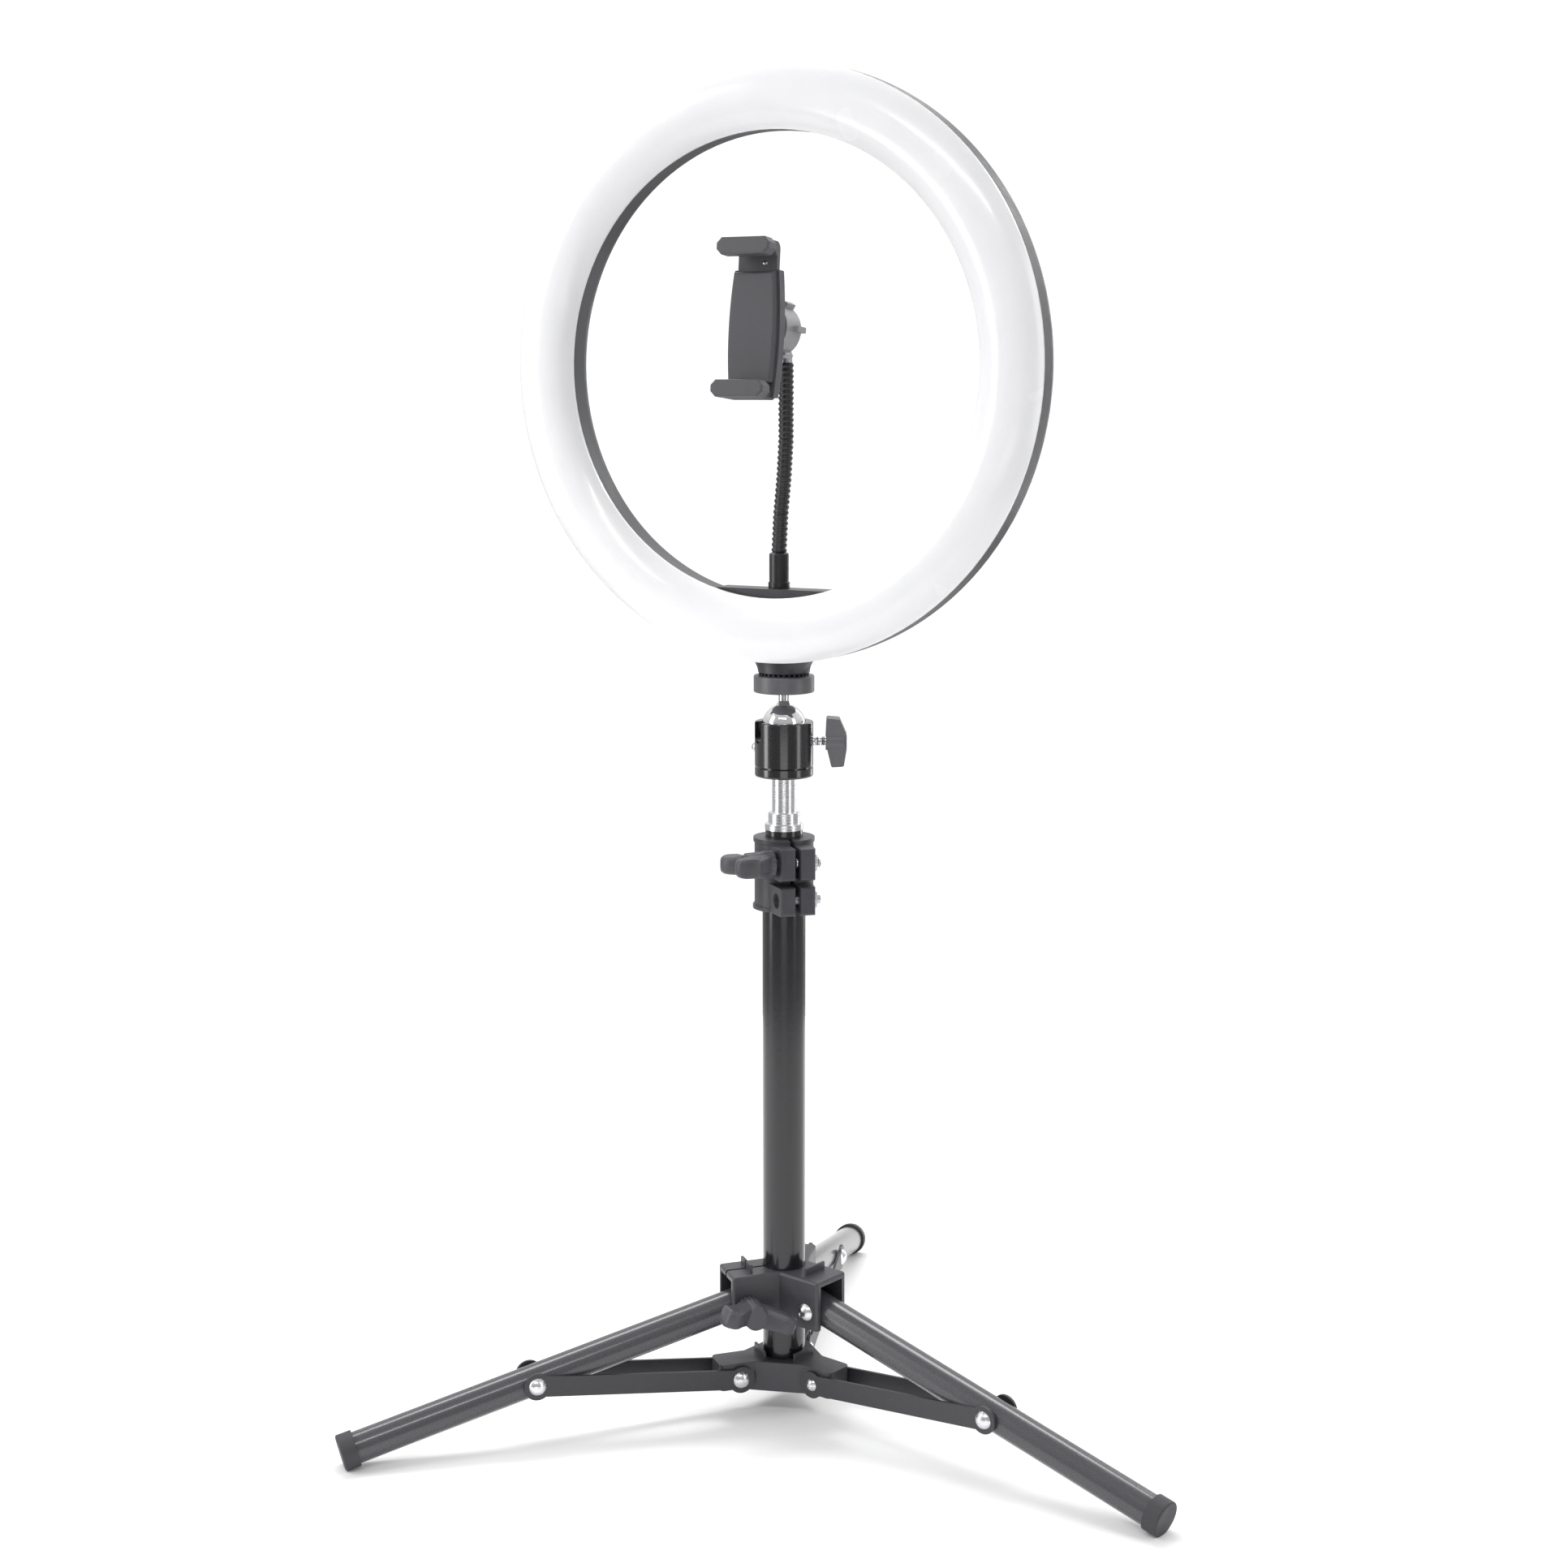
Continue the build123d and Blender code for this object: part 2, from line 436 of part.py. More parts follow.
def clamp_knob():
    knob = Rot(0, 0, CLAMP_KNOB_TURN) * wing_knob(M5_R + SEAT)
    return on_clamp_screw(Pos(0, 0, KNOB_FACE) * knob, UPPER_SCREW_Z)


# ---- mast ----------------------------------------------------------------------------------
def inner_tube():
    return ring(INNER_OD / 2, INNER_OD / 2 - INNER_WALL, INNER_TOP - INNER_LOW, INNER_LOW)


def guide_bush():
    """A plastic sleeve that closes the inner tube's lower end and slides in the outer one."""
    skirt = rod(TUBE_OD / 2 - TUBE_WALL - RUN, BUSH_SKIRT, INNER_LOW - BUSH_SKIRT)
    return skirt + rod(INNER_OD / 2 - INNER_WALL - SEAT, BUSH_LENGTH, INNER_LOW - BUSH_SKIRT)


def spigot():
    z = INNER_TOP
    body = rod(INNER_OD / 2 - INNER_WALL - SEAT, SPIGOT_PLUG, z - SPIGOT_PLUG)
    body += rod(SPIGOT_FLANGE_R, SPIGOT_FLANGE_H, z)
    z += SPIGOT_FLANGE_H
    body += rod(SPIGOT_STEP_R, SPIGOT_STEP_H, z)
    z += SPIGOT_STEP_H
    shaft = rod(SPIGOT_R, SPIGOT_TOP - z, z)
    return body + chamfer(shaft.edges().sort_by(Axis.Z)[-1], 0.8)


# ---- ball head -----------------------------------------------------------------------------
CUP_BASE_LOW = SPIGOT_TOP
CUP_LOW = CUP_BASE_LOW + CUP_BASE_H + CUP_GROOVE_H
CUP_RIM = BALL_Z + CUP_RIM_ABOVE


def at_azimuth(azimuth, shape):
    return Rot(0, 0, azimuth) * shape


def head_base():
    """The head's turntable foot, screwed to the spigot; the cup turns on its neck."""
    foot = rod(CUP_R, CUP_BASE_H, CUP_BASE_LOW)
    foot = fillet(foot.edges().sort_by(Axis.Z)[0], CUP_BASE_ROUND)
    return foot + rod(CUP_R - CUP_SKIRT, CUP_GROOVE_H + CUP_NECK_H, CUP_BASE_LOW + CUP_BASE_H)


def ball_cup():
    body = rod(CUP_R, CUP_RIM - CUP_LOW, CUP_LOW)
    body = fillet(body.edges().sort_by(Axis.Z)[-1], CUP_RIM_ROUND)
    body -= rod(CUP_R - CUP_SKIRT + RUN, CUP_NECK_H + FREE, CUP_LOW)
    body -= Pos(0, 0, BALL_Z) * Sphere(BALL_R + FREE)
    body -= rod(SPIGOT_R, BALL_Z - CUP_LOW, CUP_LOW)
    notch = block(0, CUP_R + 2, -NOTCH_WIDTH / 2, NOTCH_WIDTH / 2, CUP_RIM - NOTCH_DEPTH,
                  CUP_RIM + 1)
    notch += Pos(0, 0, CUP_RIM - NOTCH_DEPTH) * Rot(0, 90, 0) * rod(NOTCH_WIDTH / 2, CUP_R + 2)
    body -= at_azimuth(NOTCH_AZIMUTH, notch)
    screw = Pos(0, 0, LOCK_Z) * Rot(0, 90, 0) * rod(M5_R + RUN, CUP_R + 1)
    body -= at_azimuth(LOCK_AZIMUTH, screw)
    side = Pos(0, 0, LOCK_Z - SET_SCREW_DROP) * Rot(0, 90, 0) * rod(SET_SCREW_R + SEAT, CUP_R + 1)
    return body - at_azimuth(LOCK_AZIMUTH + 180, side)


def cup_screw():
    """The small set screw opposite the lock: a shank in the wall and a low domed head."""
    wall = CUP_R - BALL_R - 2 * FREE
    screw = rod(SET_SCREW_R, wall + SEAT, CUP_R - wall)
    screw += Pos(0, 0, CUP_R + SEAT) * dome_rivet_head(SET_SCREW_R + 0.8, SET_SCREW_R)
    return at_azimuth(LOCK_AZIMUTH + 180,
                      Pos(0, 0, LOCK_Z - SET_SCREW_DROP) * Rot(0, 90, 0) * screw)


def ball_stem():
    """A chromed ball, its neck and the stem up to the platform."""
    body = Pos(0, 0, BALL_Z) * Sphere(BALL_R)
    flare = Cone(STEM_R + STEM_FLARE, STEM_R, 2 * STEM_FLARE)
    body += Pos(0, 0, BALL_Z + BALL_R) * flare
    return body + rod(STEM_R, PLATFORM_LOW + STEM_SEAT - BALL_Z, BALL_Z)


def platform():
    body = rod(PLATFORM_R, PLATFORM_H, PLATFORM_LOW)
    body = fillet(body.edges(), PLATFORM_ROUND)
    body -= rod(STEM_R + SEAT, STEM_SEAT + SEAT, PLATFORM_LOW)
    return body - rod(STUD_R + SEAT, PLATFORM_H, PLATFORM_LOW + STUD_SEAT)


def platform_pad():
    return ring(PAD_R, STUD_R + SEAT, PAD_H, PLATFORM_LOW + PLATFORM_H)


def mount_stud():
    """The 1/4-inch stud that screws into the lamp's neck."""
    low = PLATFORM_LOW + STUD_SEAT
    top = PLATFORM_LOW + PLATFORM_H + PAD_H + STUD_H
    stud = rod(STUD_R, top - low, low)
    return chamfer(stud.edges().sort_by(Axis.Z)[-1], 0.6)


def on_lock(shape):
    """A shape built along +Z, laid along the lock screw, z = 0 on the head's axis."""
    return at_azimuth(LOCK_AZIMUTH, Pos(0, 0, LOCK_Z) * Rot(0, 90, 0) * shape)


LOCK_TIP = math.sqrt((BALL_R + FREE) ** 2 - (BALL_Z - LOCK_Z - M5_R) ** 2) + FREE


def lock_screw():
    return on_lock(rod(M5_R, LOCK_HUB_AT + LOCK_DEPTH * 0.6 - LOCK_TIP, LOCK_TIP))


def lock_knob():
    """A two-winged bar, its wings set off either way along the screw."""
    half, depth, step = LOCK_SPAN / 2, LOCK_DEPTH, LOCK_DEPTH * 0.22
    upper = [(-half, 0.4), (-half + 0.6, depth - 3.6), (-LOCK_THICK / 2, depth)]
    lower = [(LOCK_THICK / 2, depth), (half, depth - 1.4), (half + 0.4, step + 0.6),
             (LOCK_THICK / 2, step * 0.3)]
    outline = upper + lower + [(-LOCK_THICK / 2, 0.0)]
    bar = extrude(Plane.XZ * make_face(Polyline(*outline, close=True)), LOCK_THICK / 2,
                  both=True)
    bar = fillet(bar.edges().filter_by(Axis.Y), LOCK_ROUND)
    knob = bar + rod(LOCK_HUB_R, depth - LOCK_ROUND)
    knob -= rod(M5_R + SEAT, depth * 0.6 + SEAT)
    return on_lock(Pos(0, 0, LOCK_HUB_AT) * Rot(0, 0, LOCK_TURN) * knob)


# ---- lamp ----------------------------------------------------------------------------------
def spun(face):
    """A section in (radius, depth), revolved about the ring's axis along Y."""
    return Pos(0, 0, RING_Z) * revolve(face, Axis.Y)


def section(points):
    """A closed polygon of (radius, depth) points, radius along X and depth along Y."""
    return make_face(Polyline(*points, close=True))


def housing_shell():
    outer, inner, t = RING_R, RING_HOLE_R, RING_WALL
    skin = section([(inner, RING_FRONT), (outer, RING_FRONT), (outer, RING_BACK),
                    (inner, RING_BACK)])
    skin = fillet(skin.vertices().group_by(Axis.Y)[-1], RING_BACK_ROUND)
    hollow = section([(inner + t, RING_FRONT - 1), (outer - t, RING_FRONT - 1),
                      (outer - t, RING_BACK - t), (inner + t, RING_BACK - t)])
    hollow = fillet(hollow.vertices().group_by(Axis.Y)[-1], RING_BACK_ROUND - t)
    return spun(skin - hollow)


RING_MID_Y = (RING_FRONT + RING_BACK) / 2


def housing_neck():
    """The foot under the ring: round below, flaring as it leans forward into the ring."""
    rise, deep = NECK_TOP - NECK_LOW, (RING_BACK - RING_FRONT) / 2
    stations = [(0.0, NECK_R, NECK_R, 0.0),
                (0.25, NECK_R + 1.2, NECK_R - 0.8, 0.05 * RING_MID_Y),
                (0.5, NECK_R + 4.4, NECK_R - 2.0, 0.2 * RING_MID_Y),
                (1.0, NECK_TOP_HALF_WIDTH, deep - FREE, RING_MID_Y)]
    return loft([Pos(0, y, NECK_LOW + share * rise) * Ellipse(across, along)
                 for share, across, along, y in stations])


def chord_bridge():
    """The flat seat across the bottom of the hole."""
    low = RING_Z - RING_HOLE_R
    half = math.sqrt(RING_HOLE_R ** 2 - (RING_HOLE_R - CHORD_RISE) ** 2)
    bridge = block(-half - 1, half + 1, RING_FRONT + RING_WALL, RING_BACK - FREE,
                   low - RING_WALL, low + CHORD_RISE)
    return bridge & spun(section([(RING_HOLE_R - CHORD_RISE - 1, RING_FRONT),
                                  (RING_HOLE_R + 1, RING_FRONT), (RING_HOLE_R + 1, RING_BACK),
                                  (RING_HOLE_R - CHORD_RISE - 1, RING_BACK)]))


RING_MID_R = (RING_R + RING_HOLE_R) / 2


def at_screw(i, shape):
    """A shape built along +Y at the ring's centre, moved to the i-th housing screw."""
    angle = math.radians(360 / HOUSING_SCREWS * (i + 0.5))
    return Pos(RING_MID_R * math.cos(angle), RING_BACK,
               RING_Z + RING_MID_R * math.sin(angle)) * shape


GLAND_AT = math.radians(270 + GLAND_AZIMUTH)


def at_gland(shape):
    """A shape built along +Z, laid along +Y at the cable gland's place on the back."""
    return Pos(RING_MID_R * math.cos(GLAND_AT), RING_BACK,
               RING_Z + RING_MID_R * math.sin(GLAND_AT)) * Rot(-90, 0, 0) * shape


def rear_housing():
    neck = housing_neck()
    inside = spun(section([(RING_HOLE_R + RING_WALL, RING_FRONT - 1),
                           (RING_R - RING_WALL, RING_FRONT - 1),
                           (RING_R - RING_WALL, RING_BACK - RING_WALL),
                           (RING_HOLE_R + RING_WALL, RING_BACK - RING_WALL)]))
    bore = rod(INSERT_R + SEAT, INSERT_DEPTH + SEAT, NECK_LOW)
    body = housing_shell() + (neck - inside - bore) + chord_bridge() - bore
    body -= at_gland(rod(GLAND_R - 1.0 + SEAT, 12, -6))
    depth = FERRULE_STUB + 2.0
    body -= Pos(0, GOOSE_FOOT_Y, FERRULE_LOW - depth) * rod(M5_R + SEAT, depth)
    for i in range(HOUSING_SCREWS):
        body -= at_screw(i, cross_rod(HOUSING_SCREW_R / 2, 2 * RING_WALL))
    return body


def diffuser():
    """The domed opal cover: a thin shell with a lip inside each of the housing's walls."""
    def profile(shrink):
        outer, inner = RING_R - shrink, RING_HOLE_R + shrink
        front = RING_FRONT - DIFFUSER_EDGE
        rise = DIFFUSER_RISE - shrink
        arc = ThreePointArc((outer, front), ((outer + inner) / 2, front - rise),
                            (inner, front))
        side = RING_FRONT - SEAT
        rest = Polyline((inner, front), (inner, side), (outer, side), (outer, front))
        return make_face(arc + rest)
    shell = spun(profile(0.0) - profile(DIFFUSER_WALL))
    gap, thick = RING_WALL + SEAT, DIFFUSER_LIP_THICK
    root, tip = RING_FRONT - DIFFUSER_EDGE, RING_FRONT + DIFFUSER_LIP
    for wall in (RING_R - gap - thick, RING_HOLE_R + gap):
        shell += spun(section([(wall, root), (wall + thick, root), (wall + thick, tip),
                               (wall, tip)]))
    return shell


def led_board():
    lo, hi = RING_HOLE_R + RING_WALL + BOARD_MARGIN, RING_R - RING_WALL - BOARD_MARGIN
    return spun(section([(lo, BOARD_AT), (hi, BOARD_AT), (hi, BOARD_AT + BOARD_THICK),
                         (lo, BOARD_AT + BOARD_THICK)]))


def board_posts():
    """Plastic spacers that hold the board off the housing's back."""
    posts = []
    for i in range(HOUSING_SCREWS):
        low = BOARD_AT + BOARD_THICK
        post = ring(POST_R, HOUSING_SCREW_R / 2, RING_BACK - RING_WALL - low)
        posts.append(at_screw(i, Pos(0, low - RING_BACK, 0) * Rot(-90, 0, 0) * post))
    return Compound(children=posts)


def led_chips():
    w, t, h = LED_SIZE
    chips = []
    for radius in (RING_MID_R - LED_SPREAD, RING_MID_R + LED_SPREAD):
        for i in range(LED_PER_ROW):
            angle = 360 / LED_PER_ROW * i
            place = Pos(0, BOARD_AT - t / 2, RING_Z) * Rot(0, angle, 0) * Pos(radius, 0, 0)
            chips.append(place * Box(h, t, w))
    return Compound(children=chips)


def housing_screws():
    """Pan-head screws round the back."""
    screws = []
    for i in range(HOUSING_SCREWS):
        shank = HOUSING_SCREW_R / 2 - 4 * SEAT
        screw = Pos(0, SEAT, 0) * Rot(90, 0, 0) * rod(shank, RING_WALL + POST_R)
        head = Pos(0, SEAT, 0) * Rot(-90, 0, 0) * dome_rivet_head(HOUSING_SCREW_R, 1.5)
        half, arm = 0.4, 2.0
        cross = block(-half, half, 0.9, arm, -arm, arm) + block(-arm, arm, 0.9, arm, -half, half)
        screws.append(at_screw(i, screw + head - cross))
    return Compound(children=screws)


def neck_insert():
    """The brass threaded insert in the neck."""
    return ring(INSERT_R, STUD_R + RUN, INSERT_DEPTH, NECK_LOW)


def cable_gland():
    """A rubber inlet in the back; its bore is where a lead would pass."""
    body = rod(GLAND_R, 2.2) + rod(GLAND_R - 1.0, 5.0, -3.4)
    return at_gland(fillet(body.edges().sort_by(Axis.Z)[-1], 0.8) - rod(GLAND_BORE_R, 12, -6))


# ---- gooseneck -----------------------------------------------------------------------------
FERRULE_LOW = RING_Z - RING_HOLE_R + CHORD_RISE
GOOSE_LOW = FERRULE_LOW + FERRULE_H


def goose_point(t):
    """A point on the gooseneck's centre line, t from 0 at the ferrule to 1 at its top."""
    ease = min(t / GOOSE_STRAIGHT, 1.0)
    sway = ease * ease * (3 - 2 * ease)
    return (0.0, GOOSE_FOOT_Y + (GOOSE_TOP_Y - GOOSE_FOOT_Y) * sway,
            GOOSE_LOW + (GOOSE_TOP_Z - GOOSE_LOW) * t)


def goose_joints():
    """The hose's bending points: the lower end of each segment, then the top."""
    return [goose_point(i / GOOSE_SEGMENTS) for i in range(GOOSE_SEGMENTS + 1)]


def gooseneck_ferrule():
    sleeve = rod(FERRULE_R, FERRULE_H, FERRULE_LOW)
    sleeve = chamfer(sleeve.edges().sort_by(Axis.Z)[-1], 0.6)
    thick, high = FERRULE_FLANGE
    sleeve += rod(FERRULE_R + thick, high, FERRULE_LOW)
    sleeve += rod(M5_R, FERRULE_STUB, FERRULE_LOW - FERRULE_STUB)
    sleeve -= Pos(0, 0, GOOSE_LOW) * Sphere(GOOSE_R + FREE)
    return Pos(0, GOOSE_FOOT_Y, 0) * sleeve


def goose_frame(i):
    """The i-th segment's place: its lower joint at the origin, its axis along +Z."""
    (x0, y0, z0), (_, y1, z1) = goose_joints()[i], goose_joints()[i + 1]
    return Pos(x0, y0, z0) * Rot(-math.degrees(math.atan2(y1 - y0, z1 - z0)), 0, 0)


def goose_segment_length(i):
    return math.dist(goose_joints()[i], goose_joints()[i + 1])


def gooseneck_segment(i):
    """A stretch of the hose: a ball at its lower end, a matching hollow at its upper end."""
    length = goose_segment_length(i)
    ball = Sphere(GOOSE_R)
    body = rod(GOOSE_R, length) + ball
    if i < GOOSE_SEGMENTS - 1:
        body -= Pos(0, 0, length) * Sphere(GOOSE_R + FREE)
    return goose_frame(i) * body


def gooseneck_end():
    """The silver collar, the bent rod above it and the holder's ball, in one piece."""
    foot = Vector(*goose_joints()[-1]) + Vector(0, 0, COLLAR_H)
    ball = Vector(*HOLDER_BALL)
    reach = (ball - foot).length
    lean = math.degrees(math.atan2(ball.Y - foot.Y, ball.Z - foot.Z))
    body = Pos(*goose_joints()[-1]) * rod(COLLAR_R, COLLAR_H)
    body += Pos(*foot) * (Sphere(NECK_ROD_R) + Rot(-lean, 0, 0) * rod(NECK_ROD_R, reach))
    return body + Pos(*ball) * Sphere(HOLDER_BALL_R)


# ---- phone holder --------------------------------------------------------------------------
def on_holder(shape):
    """A holder shape, leaned back about the ball."""
    return Pos(*HOLDER_BALL) * Rot(-HOLDER_LEAN, 0, 0) * shape


def back_rod(radius, y0, y1):
    """A rod along Y between two depths behind or before the ball."""
    return Pos(0, y0, 0) * Rot(-90, 0, 0) * rod(radius, y1 - y0)


def holder_nut():
    """The lugged ring nut that closes the socket on the ball."""
    half_round = 0.8
    nut = back_rod(NUT_R, NUT_FRONT, NUT_BACK)
    nut = fillet(nut.edges().sort_by(Axis.Y)[-1], 2 * half_round)
    half, back = NUT_LUG_HALF, NUT_BACK - half_round
    lug = block(-half, half, back - NUT_LUG_LENGTH, back, NUT_R - 2.0, NUT_R + NUT_LUG_RISE)
    for i in range(NUT_LUGS):
        nut += Rot(0, 360 / NUT_LUGS * (i + 0.5), 0) * lug
    nut -= back_rod(SOCKET_R + FREE, NUT_FRONT, NUT_BACK - NUT_LIP)
    nut -= Sphere(HOLDER_BALL_R + FREE)
    exit_slot = block(-NECK_ROD_R - 0.8, NECK_ROD_R + 0.8, -3.0, NUT_BACK + 1, -NUT_R - 4, 0)
    return on_holder(nut - exit_slot)


def holder_outline(inset=0.0):
    """The body's bulging outline, seen from the front."""
    half, mid = BODY_WIDTH / 2 - inset, (BODY_LOW + BODY_TOP) / 2
    low, top, bulge = BODY_LOW + inset, BODY_TOP - inset, BODY_BULGE / 2
    right = ThreePointArc((half, low), (half + bulge, mid), (half, top))
    left = ThreePointArc((-half, top), (-half - bulge, mid), (-half, low))
    return make_face(right + Line((half, top), (-half, top)) + left
                     + Line((-half, low), (half, low)))


def slab(face, y0, y1):
    """A face seen from the front, as a slab between two depths."""
    return Pos(0, y1, 0) * extrude(Plane.XZ * face, y1 - y0)


def slider_slot():
    """The space that the jaw's slide runs in."""
    return block(-SLOT_WIDTH / 2, SLOT_WIDTH / 2, SLOT_FRONT, SLOT_FRONT + SLOT_THICK, SLOT_LOW,
                 BODY_TOP + 1)


def bracket(width, points):
    """A plate of this width, centred, whose outline is given as (y, z) points."""
    outline = make_face(Polyline(*[(0, y, z) for y, z in points], close=True))
    return extrude(outline, width / 2, both=True)


def lower_jaw():
    """The fixed jaw's deep bracket, rounded behind and set in along its upper sides."""
    low, top, back = LOWER_PAD_Z - LOWER_JAW_DROP, LOWER_PAD_Z + LOWER_JAW_RISE, BODY_BACK - 1
    jaw = bracket(JAW_WIDTH, [(back, low), (back, top), (BODY_FRONT, top),
                              (PAD_BACK, top - LOWER_JAW_SET_IN), (PAD_BACK, low)])
    corner = jaw.edges().filter_by(Axis.X).group_by(Axis.Z)[0].sort_by(Axis.Y)[-1]
    jaw = fillet(corner, JAW_ROUND)
    for side in (-1, 1):
        jaw -= Pos(side * JAW_WIDTH / 2, 0, 0) * bracket(2 * LOWER_JAW_SET_IN, [
            (PAD_BACK - 1, LOWER_PAD_Z), (BODY_BACK, LOWER_PAD_Z), (BODY_BACK, top + 1),
            (PAD_BACK - 1, top + 1)])
    return jaw


def holder_shell():
    """The back half, with the socket for the ball and the fixed lower jaw's bracket."""
    shell = slab(holder_outline(), SLOT_FRONT, BODY_BACK)
    shell = fillet(shell.edges().filter_by(Plane.XZ).group_by(Axis.Y)[-1], 1.2)
    shell -= slider_slot()
    shell += back_rod(SOCKET_R, BODY_BACK, SOCKET_FRONT) - Sphere(HOLDER_BALL_R + FREE)
    return on_holder(shell + lower_jaw())


def holder_front():
    """The domed front cover."""
    cover = slab(holder_outline(1.0), BODY_FRONT, SLOT_FRONT)
    cover = fillet(cover.edges().filter_by(Plane.XZ).group_by(Axis.Y)[0], 1.4)
    clear = block(-JAW_WIDTH, JAW_WIDTH, BODY_FRONT - 1, SLOT_FRONT + 1, BODY_LOW - 1,
                  LOWER_PAD_Z + LOWER_JAW_RISE + SEAT)
    return on_holder(cover - clear)


def jaw_pad(z):
    """A rubber pad with chamfered ends along a jaw's lip."""
    pad = Pos(0, PAD_Y, z) * Box(PAD_WIDTH, PAD_DEPTH, PAD_HEIGHT)
    ends = pad.edges().filter_by(Axis.Y)
    pad = chamfer(ends, PAD_CHAMFER)
    return on_holder(fillet(pad.edges().group_by(Axis.Y)[0], 1.0))


def jaw_slider():
    """The sprung upper jaw: a flat slide in the slot and a bracket out to its pad."""
    front, back = SLOT_FRONT + FREE, SLOT_FRONT + SLOT_THICK - FREE
    top = UPPER_PAD_Z + UPPER_JAW_RISE
    low = top - JAW_THICK
    jaw = bracket(JAW_WIDTH, [(back, SLOT_LOW + 2), (back, top), (PAD_BACK, top),
                              (PAD_BACK, low), (front - JAW_GUSSET, low),
                              (front, low - JAW_GUSSET), (front, SLOT_LOW + 2)])
    corner = jaw.edges().filter_by(Axis.X).group_by(Axis.Z)[-1].sort_by(Axis.Y)[-1]
    return on_holder(fillet(corner, JAW_ROUND))


def jaw_stop_screw():
    """The small screw in the slide, above the cover."""
    head = Rot(90, 0, 0) * dome_rivet_head(STOP_SCREW_R, STOP_SCREW_H)
    return on_holder(Pos(STOP_SCREW_AT, SLOT_FRONT + FREE, BODY_TOP + 3.2) * head)


# ---- files ---------------------------------------------------------------------------------
PIECES = {
    "outer_tube": outer_tube, "column_plug": column_plug, "spider": spider,
    "spider_rivets": spider_rivets, "height_clamp": height_clamp, "clamp_nuts": clamp_nuts,
    "collar_screw": collar_screw, "clamp_bolt": clamp_bolt, "clamp_knob": clamp_knob,
    "leg_crown": leg_crown, "crown_rivets": crown_rivets, "crown_nut": crown_nut,
    "crown_bolt": crown_bolt, "crown_knob": crown_knob,
    "inner_tube": inner_tube, "guide_bush": guide_bush, "spigot": spigot,
    "head_base": head_base, "ball_cup": ball_cup, "cup_screw": cup_screw,
    "lock_screw": lock_screw, "lock_knob": lock_knob, "ball_stem": ball_stem,
    "platform": platform, "platform_pad": platform_pad, "mount_stud": mount_stud,
    "rear_housing": rear_housing, "diffuser": diffuser, "led_board": led_board,
    "board_posts": board_posts, "led_chips": led_chips, "housing_screws": housing_screws,
    "neck_insert": neck_insert, "cable_gland": cable_gland,
    "gooseneck_ferrule": gooseneck_ferrule, "gooseneck_end": gooseneck_end,
    "holder_nut": holder_nut, "holder_shell": holder_shell, "holder_front": holder_front,
    "jaw_slider": jaw_slider, "jaw_stop_screw": jaw_stop_screw,
}


def all_pieces():
    """Every piece's name and solid, one by one."""
    for name, make in PIECES.items():
        yield name, make()
    for arm in ARM_AZIMUTHS:
        yield f"leg_tube_{arm}", leg_tube(arm)
        yield f"foot_cap_{arm}", foot_cap(arm)
        yield f"strut_straps_{arm}", strut_straps(arm)
        yield f"strut_rivets_{arm}", strut_rivets(arm)
    for i in range(GOOSE_SEGMENTS):
        yield f"gooseneck_segment_{i + 1}", gooseneck_segment(i)
    yield "jaw_pad_upper", jaw_pad(UPPER_PAD_Z)
    yield "jaw_pad_lower", jaw_pad(LOWER_PAD_Z)


os.makedirs("parts", exist_ok=True)
for name, shape in all_pieces():
    export_step(shape, f"parts/{name}.step")
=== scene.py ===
"""Ring light on a folding stand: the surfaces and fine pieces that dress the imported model."""
import json
import math

import bmesh
import bpy
from mathutils import Matrix, Vector


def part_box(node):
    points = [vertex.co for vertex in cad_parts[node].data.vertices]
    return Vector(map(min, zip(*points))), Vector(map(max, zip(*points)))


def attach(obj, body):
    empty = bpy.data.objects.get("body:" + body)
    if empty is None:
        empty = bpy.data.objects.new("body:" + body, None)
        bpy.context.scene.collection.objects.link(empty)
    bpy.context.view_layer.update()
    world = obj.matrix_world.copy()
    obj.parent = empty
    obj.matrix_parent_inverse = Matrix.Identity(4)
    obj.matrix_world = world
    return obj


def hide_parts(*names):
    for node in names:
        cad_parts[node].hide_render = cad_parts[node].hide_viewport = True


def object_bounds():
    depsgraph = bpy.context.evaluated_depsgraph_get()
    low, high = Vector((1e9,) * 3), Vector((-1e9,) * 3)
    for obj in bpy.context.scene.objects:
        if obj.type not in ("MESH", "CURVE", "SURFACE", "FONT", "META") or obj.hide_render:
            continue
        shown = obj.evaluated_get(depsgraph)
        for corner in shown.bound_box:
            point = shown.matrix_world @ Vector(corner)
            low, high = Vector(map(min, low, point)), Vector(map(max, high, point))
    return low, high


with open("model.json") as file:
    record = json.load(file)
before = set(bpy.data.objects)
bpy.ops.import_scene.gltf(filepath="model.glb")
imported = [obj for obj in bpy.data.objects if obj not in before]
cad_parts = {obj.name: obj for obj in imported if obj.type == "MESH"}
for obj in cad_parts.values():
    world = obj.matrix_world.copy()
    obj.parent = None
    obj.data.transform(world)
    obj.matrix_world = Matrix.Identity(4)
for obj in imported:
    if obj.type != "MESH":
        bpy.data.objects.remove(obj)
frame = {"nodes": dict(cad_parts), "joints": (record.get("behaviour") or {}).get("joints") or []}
cad_low, cad_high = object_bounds()
joints = {joint["name"]: joint for joint in frame["joints"]}
MM = 0.001
UP = Vector((0, 0, 1))


# ---- Camera -----------------------------------------------------------------------------------
# A 56 mm lens on a 36 mm sensor, in front of the lamp and to its side, a little above the
# middle of the ring and turned down towards the stand's feet.
CAMERA_TURN, CAMERA_DOWN = math.radians(28.24), math.radians(9.32)
CAMERA_AWAY, CAMERA_HEIGHT = 1.218, 0.5177

